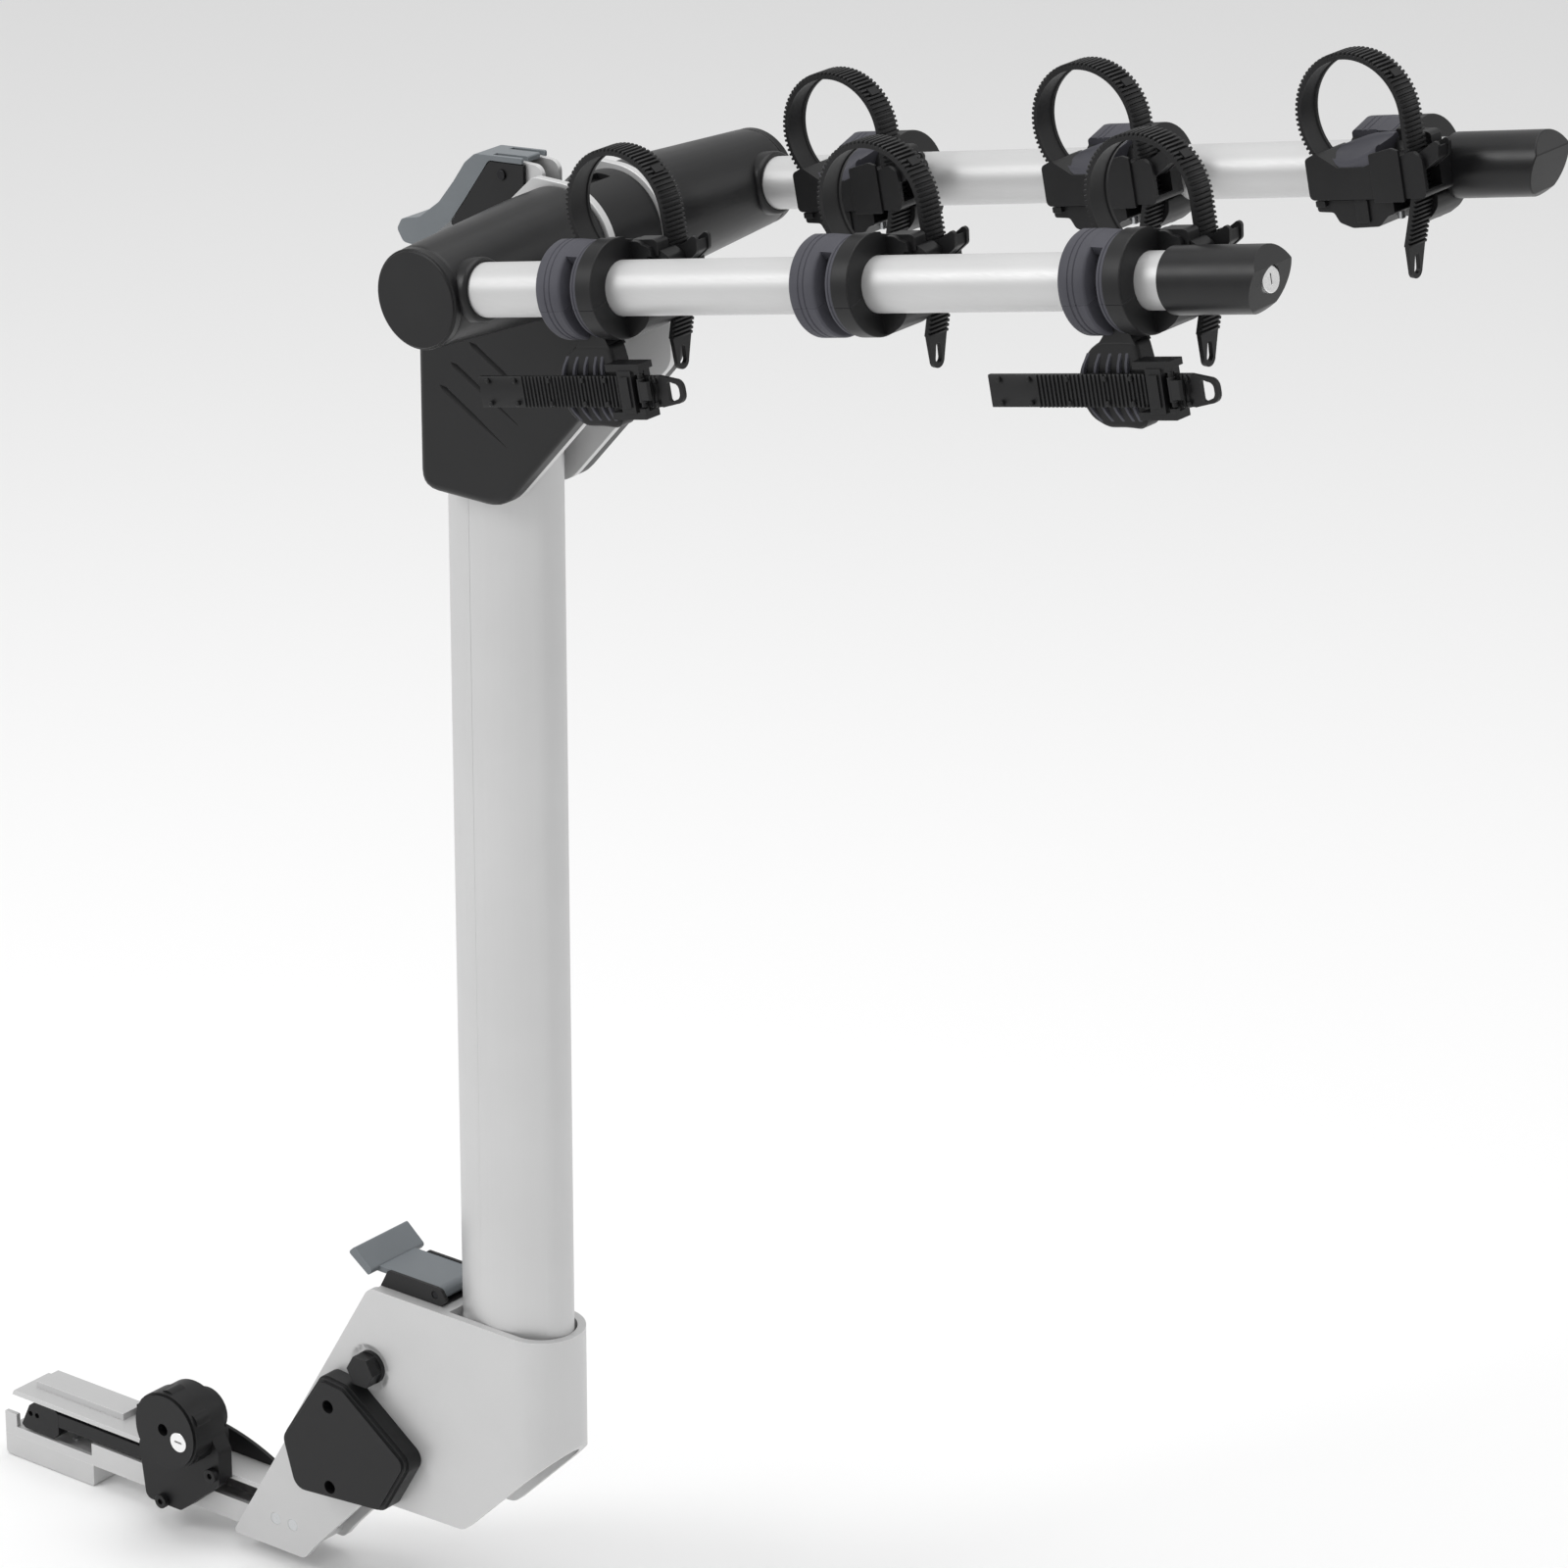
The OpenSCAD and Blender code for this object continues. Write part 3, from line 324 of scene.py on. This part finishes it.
class Shape:
    """Points and faces in millimetres; each face keeps the slot of its material."""

    def __init__(self):
        self.points = []
        self.faces = []
        self.slots = []
        self.slot = 0

    def face(self, corners):
        self.faces.append(list(corners))
        self.slots.append(self.slot)

    def strip(self, rings, closed=False):
        """Joins rings of equal length; open strips get an end face each."""
        start, n, count = len(self.points), len(rings[0]), len(rings)
        for ring in rings:
            self.points.extend(ring)
        for i in range(count if closed else count - 1):
            a, b = start + i * n, start + (i + 1) % count * n
            for j in range(n):
                k = (j + 1) % n
                self.face([a + j, a + k, b + k, b + j])
        if not closed:
            self.face(range(start + n - 1, start - 1, -1))
            self.face(range(start + (count - 1) * n, start + count * n))

    def slab(self, outline, low, high):
        """Outline in x and z, extruded along y."""
        self.strip([[(x, y, z) for x, z in outline] for y in (low, high)])

    def block(self, low, high):
        self.slab([(low[0], low[2]), (high[0], low[2]), (high[0], high[2]), (low[0], high[2])],
                  low[1], high[1])

    def frame(self, outer, inner, to_space, low, high):
        """A flat plate with a hole; both loops have the same number of points."""
        rings = [[to_space(u, v, d) for u, v in loop]
                 for loop, d in ((outer, low), (outer, high), (inner, high), (inner, low))]
        self.strip(rings, closed=True)


def arc(x, y, r, a0, a1, n):
    return [(x + r * math.cos(math.radians(a0 + (a1 - a0) * i / n)),
             y + r * math.sin(math.radians(a0 + (a1 - a0) * i / n))) for i in range(n + 1)]


def stadium(u0, u1, w0, w1, r0, r1, n=5):
    """Closed outline with rounded corners, w0 half wide at u0 and w1 at u1."""
    return (arc(u0 + r0, w0 - r0, r0, 180, 90, n) + arc(u1 - r1, w1 - r1, r1, 90, 0, n)
            + arc(u1 - r1, r1 - w1, r1, 0, -90, n) + arc(u0 + r0, r0 - w0, r0, -90, -180, n))


def rounded(points, radius, n=4):
    """The outline with each corner cut by a quadratic curve."""
    out = []
    for i, corner in enumerate(points):
        corner = Vector(corner)
        before, after = Vector(points[i - 1]), Vector(points[(i + 1) % len(points)])
        reach = min(radius, (before - corner).length * 0.48, (after - corner).length * 0.48)
        first = corner + (before - corner).normalized() * reach
        last = corner + (after - corner).normalized() * reach
        for k in range(n + 1):
            t = k / n
            out.append(tuple(first * (1 - t) ** 2 + corner * 2 * t * (1 - t) + last * t ** 2))
    return out


def on_arm(side, s=0.0):
    """Frame on an arm, in mm: +X along it, +Y towards the other arm."""
    place = (Matrix.Translation(HUB) @ Matrix.Rotation(-TILT, 4, "Y")
             @ Matrix.Translation((s, side * ARM_Y, 0)))
    if side == RIGHT:
        place = place @ Matrix.Scale(-1, 4, (0, 1, 0))
    return place @ Matrix.Scale(MM, 4)


def piece(name, shape, places, node, materials, width=0.35, replaces=True):
    """Puts copies of a shape into one object that rides on the node's body.

    width is how wide its edges are rounded, in mm; 0 leaves them as they are.
    """
    points, faces, slots = [], [], []
    for place in places:
        start = len(points)
        points.extend(place @ Vector(p) for p in shape.points)
        turn = place.determinant() < 0
        for corners, slot in zip(shape.faces, shape.slots):
            corners = [start + c for c in corners]
            faces.append(corners[::-1] if turn else corners)
            slots.append(slot)
    mesh = bpy.data.meshes.new(name)
    mesh.from_pydata([tuple(p) for p in points], [], faces)
    for material in materials:
        mesh.materials.append(material)
    mesh.polygons.foreach_set("material_index", slots)
    bm = bmesh.new()
    bm.from_mesh(mesh)
    bmesh.ops.recalc_face_normals(bm, faces=bm.faces)
    for face in bm.faces:
        face.smooth = True
    bm.to_mesh(mesh)
    bm.free()
    mesh.set_sharp_from_angle(angle=PIECE_CREASE)
    obj = bpy.data.objects.new(name, mesh)
    SCENE.collection.objects.link(obj)
    if width:
        bevel = obj.modifiers.new("edges", "BEVEL")
        bevel.width = width * MM
        bevel.segments = 2
        bevel.limit_method = "ANGLE"
        bevel.angle_limit = EDGE_ANGLE
        even = obj.modifiers.new("shading", "WEIGHTED_NORMAL")
        even.keep_sharp = True
    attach(obj, NODES[node]["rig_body"])
    if replaces:
        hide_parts(node)
        DONE.add(node)
    return obj


DONE = set()
ALL_CRADLES = [on_arm(side, s) for side in (LEFT, RIGHT) for s in CRADLES]


# ---------------------------------------------------------------- ladder straps

def walk(path, distances):
    """Places and headings at the given distances along a polyline."""
    out, done, i = [], 0.0, 0
    for d in distances:
        while i < len(path) - 2 and d > done + (path[i + 1] - path[i]).length:
            done += (path[i + 1] - path[i]).length
            i += 1
        heading = (path[i + 1] - path[i]).normalized()
        out.append((path[i] + heading * (d - done), heading))
    return out


def ribs(length, pitch, low, high, start=0.0):
    """Distance and height of each station on a ribbed strap."""
    stations, d = [(0.0, low)], start + 0.2
    while d + 2.2 < length:
        stations += [(d, low), (d + 0.35, high), (d + 1.35, high), (d + 1.7, low)]
        d += pitch
    return stations + [(length, low)]


def ladder_strap():
    """Loop over the bicycle's tube, down through the buckle, to a slotted tail."""
    shape = Shape()
    path = [Vector(p) for p in [(23.9, -34.2), (32.5, -9)] + arc(0, 35, 32.5, 0, 232, 116)]
    length = sum((b - a).length for a, b in zip(path, path[1:]))
    stations = ribs(length, 2.6, 0.9, 2.3)
    rings = []
    for (place, heading), (_, top) in zip(walk(path, [d for d, _ in stations]), stations):
        out = Vector((heading.y, -heading.x))
        section = [(-8, -1.5), (-6.2, -1.5), (-5.6, -0.8), (5.6, -0.8), (6.2, -1.5), (8, -1.5),
                   (8, top - 0.4), (7.5, top), (-7.5, top), (-8, top - 0.4)]
        ring = []
        for y, t in section:
            at = place + out * t
            ring.append((at.x, 33 + y, at.y))
        rings.append(ring)
    shape.strip(rings)
    # tail: narrows to a rounded end with a long slot
    down = Vector((-2.6, -17)).normalized()
    root = Vector((24.0, -33.8))
    outer = stadium(0, 18.6, 7.6, 4.8, 0.4, 4.6)
    inner = stadium(5.2, 16.0, 2.0, 2.7, 1.6, 2.5)

    def tail(u, v, d):
        at = root + down * u + Vector((-down.y, down.x)) * d
        return (at.x, 33 + v, at.y)

    shape.frame(outer, inner, tail, -1.3, 1.3)
    # raised mark on the descending side
    for place, heading in walk(path, [26.6 + 44 + 22]):
        out = Vector((heading.y, -heading.x))
        ring = []
        for depth in (1.2, 2.9):
            corners = []
            for u, v in ((-2.3, -3.6), (2.3, -3.6), (2.3, 3.6), (-2.3, 3.6)):
                at = place + heading * u + out * depth
                corners.append((at.x, 33 + v, at.y))
            ring.append(corners)
        shape.strip(ring)
    return shape


piece("ladder_straps", ladder_strap(), ALL_CRADLES, "cradle_straps", [STRAP_RUBBER], width=0)


# ---------------------------------------------------------------- cradles

def hood(shape, stations, low=192.8, roof=14.0, inner=15.3):
    """Upper part of a ring round the arm, with a roof that falls towards the inner block."""
    rings = []
    for x, r in stations:
        outline = (arc(0, 0, r, low, 90, 26) + [(roof, r - 4.0), (roof, inner + 1.2)]
                   + arc(0, 0, inner, 80, low, 22))
        rings.append([(x, y, z) for y, z in outline])
    shape.strip(rings)


def skirt(shape, stations, low=193.2, high=342.0):
    """Lower part of a ring round the arm."""
    rings = []
    for x, r in stations:
        outline = arc(0, 0, r, low, high, 30) + arc(0, 0, 15.3, high, low, 24)
        rings.append([(x, y, z) for y, z in outline])
    shape.strip(rings)


def grooved(low, high, r, grooves, edge=1.6, depth=0.55):
    """Stations of a ring with rounded ends and shallow grooves round it."""
    stations = [(low, r - edge), (low + edge * 0.3, r - edge * 0.4), (low + edge, r)]
    for x in grooves:
        stations += [(x - 0.75, r), (x - 0.3, r - depth), (x + 0.3, r - depth), (x + 0.75, r)]
    return stations + [(high - edge, r), (high - edge * 0.3, r - edge * 0.4), (high, r - edge)]


FRONT_RING = grooved(-19.6, -2.5, 27.2, (-12.6, -9.2))
THIN_RING = grooved(4.1, 8.6, 26.2, (6.4,), edge=0.7)
BLACK_RING = grooved(8.5, 19.6, 27.2, (), edge=0.6)


def saddle_pad():
    """Slate pad: a valley for the tube that climbs towards the arm."""
    shape = Shape()
    hood(shape, FRONT_RING)
    hood(shape, THIN_RING)
    # bridge over the slot
    hood(shape, [(-3.6, 26.8), (5.0, 25.9)], low=127, inner=20.8)
    near = [(-29, 15.5), (-24, 13.5), (-16, 10.5), (-9, 9.3), (-2, 11), (6, 15), (12.5, 19)]
    far = [(-26, 15.5), (-22, 17), (-15, 19.3), (-8, 21.3), (-2, 22.4), (5, 22.6), (11, 22.3)]
    rows = []
    for t, lift in ((0.0, -1.4), (0.05, 0.0), (0.18, 0.25), (0.2, -0.35), (0.5, -0.5), (0.8, -0.35),
                    (0.82, 0.25), (0.95, 0.2), (1.0, -1.2)):
        row = [(a[0] + (b[0] - a[0]) * t, 40.5 + (15.5 - 40.5) * t, a[1] + (b[1] - a[1]) * t + lift)
               for a, b in zip(near, far)]
        rows.append(row + [(x, y, 4.0 if t < 0.5 else 14.0) for x, y, _ in row[::-1]])
    shape.strip(rows)
    return shape


piece("saddle_pads", saddle_pad(), ALL_CRADLES, "cradle_pads", [RUBBER], width=0)


def lower_clamp():
    """Slate and black lower ring halves, the stepped block and the lip behind."""
    shape = Shape()
    shape.slot = 1
    skirt(shape, FRONT_RING)
    skirt(shape, THIN_RING)
    shape.slot = 0
    skirt(shape, BLACK_RING)
    shape.slab(rounded([(-31, -9), (-31, -15), (-21, -15.5), (-18, -21), (-10, -24), (7, -23.5),
                        (13, -18), (17.5, -17), (17.5, -9)], 1.5), 15, 38)
    shape.slab(rounded([(-30, -8.6), (-30, -12), (-24, -12), (-24, -8.6)], 0.8), 37.9, 40.5)
    shape.slab(rounded([(-6, -8.6), (-6, -21), (2, -21), (2, -8.6)], 1.0), 37.9, 39.4)
    shape.slab(rounded([(19, -9.5), (19, -26.6), (24, -25.6), (31, -21.5), (35, -17), (36, -12),
                        (36, -9.5)], 2.0), -2, 24)
    return shape


piece("lower_clamps", lower_clamp(), ALL_CRADLES, "cradle_clamps", [BLACK, RUBBER], width=0.4)


def upper_black():
    """Black ring behind the slot, buckle frame and guides; added to the CAD body."""
    shape = Shape()
    hood(shape, BLACK_RING)
    # frame round the strap on the inner face
    shape.slab(rounded([(9.5, -9.5), (28.5, -9.5), (28.5, 17.5), (24, 19), (9.5, 16)], 1.2), 41.6, 43.4)
    # small lug in the slot, on the outer side
    shape.block((-2.2, -18.4, -3.4), (3.8, -15.2, 1.6))
    # wing behind the strap that rises over the arm
    shape.slab(rounded([(19, 14), (36, 14), (36, 21.8), (33.5, 23), (19, 23)], 1.2), 13, 22.5)
    return shape


piece("cradle_frames", upper_black(), ALL_CRADLES, "cradle_bodies", [BLACK], width=0.4,
      replaces=False)


def tongue():
    """Buckle tab: a wedge with raised sides that points up and to the rear."""
    shape = Shape()
    side = rounded([(36.6, 6.0), (39.4, 5.2), (50.4, 12.2), (51.6, 19.8), (49.4, 21.4), (37.4, 14.4),
                    (35.0, 12.6)], 1.3)
    shape.slab(side, 26.8, 29.0)
    shape.slab(side, 37.0, 39.2)
    shape.slab(rounded([(36.8, 6.3), (39.4, 5.8), (49.6, 12.4), (50.2, 18.6), (38.0, 12.4)], 1.0),
               28.8, 37.2)
    shape.strip([[(x, y, z) for x, z in arc(37.5, 9, 1.5, 0, 337.5, 15)] for y in (24.6, 41.4)])
    return shape


for i, s in enumerate(CRADLES):
    for side, letter in ((LEFT, "l"), (RIGHT, "r")):
        node = "buckle_tab_%s%d" % (letter, i + 1)
        piece(node + "_tongue", tongue(), [on_arm(side, s)], node, [BLACK], width=0.35)


# ---------------------------------------------------------------- anti-sway cages

SWAY_Z = -51.0                      # middle of the anti-sway strap under the arm
STRAP_SHIFT = (-3.5, 0, -1.6)       # from the strap's CAD place to the photograph's


def sway_cage():
    """Anti-sway cradle: ring, neck, ribbed pad and the ratchet's frame."""
    shape = Shape()
    # lower part of the ring in the slot of the cradle
    shape.strip([[(x, y, z) for y, z in arc(0, 0, 19, 235, 400, 30) + arc(0, 0, 15.4, 400, 235, 30)]
                 for x in (-2.2, 3.8)])
    # neck
    shape.strip([[(x0, -9, z), (x1, -9, z), (x1 * 0.9, 6, z), (x0 * 0.9, 6, z)] for x0, x1, z in
                 ((-2.2, 3.8, -16.5), (-4.5, 5.5, -22.0), (-9.0, 8.0, -25.5), (-14.0, 10.0, -31.0))])
    pad = rounded([(-12, -28.5), (-20, -33), (-26.5, -41), (-30, -50), (-29, -60), (-24, -68.5),
                   (-15, -73.5), (-4, -73.4), (6, -74.4), (9.6, -71.5), (9.6, -60), (12.5, -42),
                   (10.5, -28.5)], 3.5)
    rings = []
    for y, shrink in ((-9.6, 0.90), (-8.9, 0.965), (-7.4, 1.0), (2.6, 1.0), (4.0, 0.94)):
        rings.append([(-9 + (x + 9) * shrink, y, -51 + (z + 51) * shrink) for x, z in pad])
    shape.strip(rings)
    # curved slate ridges on the face
    shape.slot = 1
    for first, bulge in ((-19.5, 6.5), (-12.5, 5.6), (-5.8, 4.6), (0.4, 3.4), (4.6, 2.2)):
        rings = []
        for k in range(15):
            t = k / 14.0
            z = -34.5 - 35.5 * t
            x = first - bulge * (1 - (2 * t - 1) ** 2) + 2.0 * t
            proud = 1.5 * min(1.0, 6 * t, 6 * (1 - t)) + 0.05
            rings.append([(x - 1.4, -9.2, z), (x - 0.75, -9.5 - proud, z), (x + 0.75, -9.5 - proud, z),
                          (x + 1.4, -9.2, z)])
        shape.strip(rings)
    shape.slot = 0
    # ratchet frame: back plate, two arms with hooks, cross bar in front of the strap
    shape.block((9.0, -10.8, -62.5), (33.0, -6.0, -39.5))
    for z0, z1 in ((-40.6, -36.8), (-66.8, -62.8)):
        shape.block((14.0, -19.4, z0), (37.2, -8.0, z1))
    shape.block((33.5, -19.4, -42.4), (37.2, -16.0, -40.4))
    shape.block((33.5, -19.4, -62.9), (37.2, -16.0, -60.9))
    shape.block((22.0, -20.2, -63.2), (31.6, -16.4, -40.4))
    shape.block((24.0, -21.2, -60.0), (29.6, -20.0, -43.4))
    return shape


def sway_strap():
    """Straight ladder strap with cross ribs, rivets and a looped end."""
    shape = Shape()
    stations = []
    for d, top in ribs(128.0, 2.6, 0.9, 1.8, start=30.0):
        stations.append((-78 + d, top))
    rings = []
    for x, top in stations:
        rings.append([(x, -14 + 1.5, SWAY_Z - 8.5), (x, -14 - top + 0.4, SWAY_Z - 8.5),
                      (x, -14 - top, SWAY_Z - 8.0), (x, -14 - top, SWAY_Z + 8.0),
                      (x, -14 - top + 0.4, SWAY_Z + 8.5), (x, -14 + 1.5, SWAY_Z + 8.5)])
    shape.strip(rings)
    for x in (-71, -52, -27.5, -3.5, 12.5, 47):
        for z in (-6.4, 6.4):
            shape.strip([[(u, -14 - t, v) for u, v in arc(x, SWAY_Z + z, r, 0, 324, 9)]
                         for r, t in ((1.45, 0.8), (1.45, 2.3), (0.9, 2.8))])
    outer = stadium(0, 15.6, 8.5, 6.6, 0.4, 5.0)
    inner = stadium(5.2, 13.2, 5.6, 4.5, 1.6, 3.4)
    shape.frame(outer, inner, lambda u, v, d: (49.8 + u, -14 + d, SWAY_Z + v), -1.4, 1.4)
    return shape


def sway_tongue():
    """Buckle tab of an anti-sway cradle with its pin."""
    shape = Shape()
    for r, half in ((2.2, 6.4), (1.4, 9.0)):
        shape.strip([[(x, y, z) for x, y in arc(36.5, -18.5, r, 0, 337.5, 15)]
                     for z in (SWAY_Z - half, SWAY_Z + half)])
    shape.strip([[(36.5, -20.6, z), (42.5, -21.0, z), (44.0, -19.8, z), (36.5, -18.0, z)]
                 for z in (SWAY_Z - 5.0, SWAY_Z + 5.0)])
    return shape


for name, s in (("front", CRADLES[0]), ("rear", CRADLES[2])):
    place = [on_arm(LEFT, s)]
    strap_place = [on_arm(LEFT, s) @ Matrix.Translation(STRAP_SHIFT)]
    piece("sway_cage_" + name, sway_cage(), place, "sway_cradle_" + name, [BLACK, RUBBER], width=0.35)
    piece("sway_ladder_" + name, sway_strap(), strap_place, "sway_strap_" + name, [STRAP_RUBBER], width=0)
    piece("sway_tongue_" + name, sway_tongue(), place, "sway_tab_" + name, [BLACK], width=0.3)


# ---------------------------------------------------------------- head

def inset(outline, distance):
    """The outline moved inwards; it runs clockwise or anticlockwise in x and z."""
    area = sum(a[0] * b[1] - b[0] * a[1] for a, b in zip(outline, outline[1:] + outline[:1]))
    turn = 1 if area > 0 else -1
    out = []
    for i, corner in enumerate(outline):
        corner = Vector(corner)
        along = (corner - Vector(outline[i - 1])).normalized()
        onward = (Vector(outline[(i + 1) % len(outline)]) - corner).normalized()
        normal = Vector((-along.y - onward.y, along.x + onward.x)) * turn
        spread = max(0.7, normal.length / 2)
        out.append(tuple(corner + normal.normalized() * distance / spread))
    return out


COVER_FACE = -38.0                  # outer face of the left side cover
CLAW_FALL = math.radians(29)
CLAWS = [((394.5, 800.5), 52), ((380.5, 786), 58), ((372, 771), 57)]    # start and length


def cover_blank():
    """Left side cover with a rounded rim, before its grooves are cut."""
    shape = Shape()
    bends = rounded([(355, 706), (415, 706), (490.5, 792), (489.3, 838), (416.9, 855.2), (384, 856),
                     (355, 827)], 12, 5)
    outline = (bends[:18] + [(489.3, 836), (485.5, 843.5)] + arc(452, 864, 36.2, -32, -166, 24)
               + bends[30:])
    stations = ((-26.0, 0.0), (-33.5, 0.0), (-35.2, 0.5), (-36.6, 1.6), (-37.6, 3.2), (COVER_FACE, 5.2))
    shape.strip([[(x, y, z) for x, z in inset(outline, step)] for y, step in stations])
    return shape


def claws():
    """Three wedges, pointed at both ends, to cut the grooves with."""
    shape = Shape()
    ahead = Vector((math.cos(CLAW_FALL), -math.sin(CLAW_FALL)))
    across = Vector((math.sin(CLAW_FALL), math.cos(CLAW_FALL)))
    for start, reach in CLAWS:
        rings = []
        for t, half, deep in ((0.0, 0.5, 0.3), (0.07, 2.3, 2.2), (0.5, 2.0, 1.9), (0.97, 0.4, 0.3)):
            at = Vector(start) + ahead * reach * t
            rings.append([(place.x, y, place.y) for place, y in
                          ((at + across * half, COVER_FACE - 1.0), (at + across * half * 0.85, COVER_FACE),
                           (at, COVER_FACE + deep), (at - across * half * 0.85, COVER_FACE),
                           (at - across * half, COVER_FACE - 1.0))])
        shape.strip(rings)
    return shape


def subtract(shape, cutter):
    """The shape with the cutter's volume taken out of it."""
    objects = []
    for name, source in (("cover_blank", shape), ("claws", cutter)):
        mesh = bpy.data.meshes.new(name)
        mesh.from_pydata(source.points, [], source.faces)
        bm = bmesh.new()
        bm.from_mesh(mesh)
        bmesh.ops.recalc_face_normals(bm, faces=bm.faces)
        bm.to_mesh(mesh)
        bm.free()
        objects.append(bpy.data.objects.new(name, mesh))
        SCENE.collection.objects.link(objects[-1])
    cut = objects[0].modifiers.new("claws", "BOOLEAN")
    cut.operation = "DIFFERENCE"
    cut.object = objects[1]
    cut.solver = "EXACT"
    bpy.context.view_layer.update()
    graph = bpy.context.evaluated_depsgraph_get()
    mesh = bpy.data.meshes.new_from_object(objects[0].evaluated_get(graph))
    result = Shape()
    result.points = [tuple(v.co) for v in mesh.vertices]
    for face in mesh.polygons:
        result.face(face.vertices)
    for obj in objects:
        bpy.data.objects.remove(obj)
    return result


COVER = subtract(cover_blank(), claws())
for word, flip in (("left", 1), ("right", -1)):
    piece("head_cover_" + word, COVER, [Matrix.Scale(MM, 4) @ Matrix.Scale(flip, 4, (0, 1, 0))],
          "side_cover_" + word, [BLACK], width=0.3)


def collar():
    """Rounded ring where an arm leaves the hub shell: a profile turned round the arm."""
    shape = Shape()
    profile = [(20, 15.3), (20, 17.9), (30.5, 17.9), (32.2, 17.3), (33, 16.2), (33, 15.3)]
    turns = 64
    rings = []
    for i in range(turns):
        a = 2 * math.pi * i / turns
        rings.append([(x, r * math.cos(a), r * math.sin(a)) for x, r in profile])
    shape.strip(rings, closed=True)
    return shape


for word, side in (("left", LEFT), ("right", RIGHT)):
    piece("arm_collar_" + word, collar(), [on_arm(side)], "hub_shell_" + word, [SHELL_BLACK],
          width=0, replaces=False)


# ---------------------------------------------------------------- stage

# Camera at the photograph's viewing angle, aimed near the middle of the rack.
AZIMUTH = math.radians(38.38)
ELEVATION = math.radians(21.59)
DISTANCE = 3.973
AIM = Vector((0.6045, -0.0216, 0.5829))
LENS = 165.3


def set_camera():
    away = Vector((math.sin(AZIMUTH) * math.cos(ELEVATION),
                   -math.cos(AZIMUTH) * math.cos(ELEVATION), math.sin(ELEVATION)))
    data = bpy.data.cameras.new("camera")
    data.lens = LENS
    data.sensor_width = 36
    camera = bpy.data.objects.new("camera", data)
    camera.location = AIM + away * DISTANCE
    camera.rotation_mode = "QUATERNION"
    camera.rotation_quaternion = away.to_track_quat("Z", "Y")
    SCENE.collection.objects.link(camera)
    SCENE.camera = camera


def area_light(name, place, target, size, power):
    data = bpy.data.lights.new(name, "AREA")
    data.shape = "RECTANGLE"
    data.size, data.size_y = size
    data.energy = power
    lamp = bpy.data.objects.new(name, data)
    lamp.location = place
    lamp.rotation_mode = "QUATERNION"
    lamp.rotation_quaternion = (Vector(place) - Vector(target)).to_track_quat("Z", "Y")
    SCENE.collection.objects.link(lamp)


def set_stage():
    world = bpy.data.worlds.new("studio")
    world.use_nodes = True
    world.node_tree.nodes["Background"].inputs["Color"].default_value = (1, 1, 1, 1)
    world.node_tree.nodes["Background"].inputs["Strength"].default_value = 0.64
    SCENE.world = world
    floor_mat, tree, shader = new_material("floor_paper", (0.93, 0.93, 0.93), 0.9, specular=0.1)
    paper = noise(tree, object_space(tree), 300.0, 3.0, 0.6)
    bump(tree, shader, paper, 0.0001, 0.2)
    mesh = bpy.data.meshes.new("floor")
    reach = 30.0
    low = cad_low.z - 0.0005
    mesh.from_pydata([(-reach, -reach, low), (reach, -reach, low), (reach, reach, low),
                      (-reach, reach, low)], [], [(0, 1, 2, 3)])
    floor = bpy.data.objects.new("floor", mesh)
    floor.data.materials.append(floor_mat)
    SCENE.collection.objects.link(floor)
    middle = (0.45, 0.0, 0.5)
    area_light("key", (-1.2, -2.4, 2.6), middle, (1.4, 1.4), 40)
    area_light("top", (0.5, 0.2, 3.2), middle, (2.6, 2.6), 40)
    area_light("rim", (2.2, 2.2, 1.8), middle, (1.2, 1.8), 6)


# ---------------------------------------------------------------- build

# How wide the edges of the CAD nodes are rounded, in mm
PLAIN_EDGE = 0.4
EDGE = {"hitch_knob": 1.3, "end_caps": 1.8, "pivot_covers": 1.6, "tilt_lever": 1.2,
        "release_lever": 1.8, "arm_plug_left": 1.6, "arm_plug_right": 1.6, "latch_bolt": 0.8,
        "wedge_block": 0.8, "adapter_blocks": 0.6, "bracket_plates": 0.8, "lever_body": 1.0,
        "knob_housing": 1.0, "guard_plate": 0.6}
for node in NODES:
    if node not in DONE:
        soften(node, EDGE.get(node, PLAIN_EDGE))


def lower_blocks(drop=3.2):
    """Lowers the top of the block behind each black ring, in mm, as the photograph shows it."""
    mesh = SCENE.objects["cradle_bodies_soft"].data
    for place in ALL_CRADLES:
        back = place.inverted()
        for vertex in mesh.vertices:
            at = back @ vertex.co
            if 11.5 < at.x < 35 and 9.5 < at.y < 20.5 and 20 < at.z < 28:
                at.z -= drop
                vertex.co = place @ at


lower_blocks()
set_camera()
set_stage()
SCENE.view_settings.view_transform = "Standard"
SCENE.view_settings.look = "None"
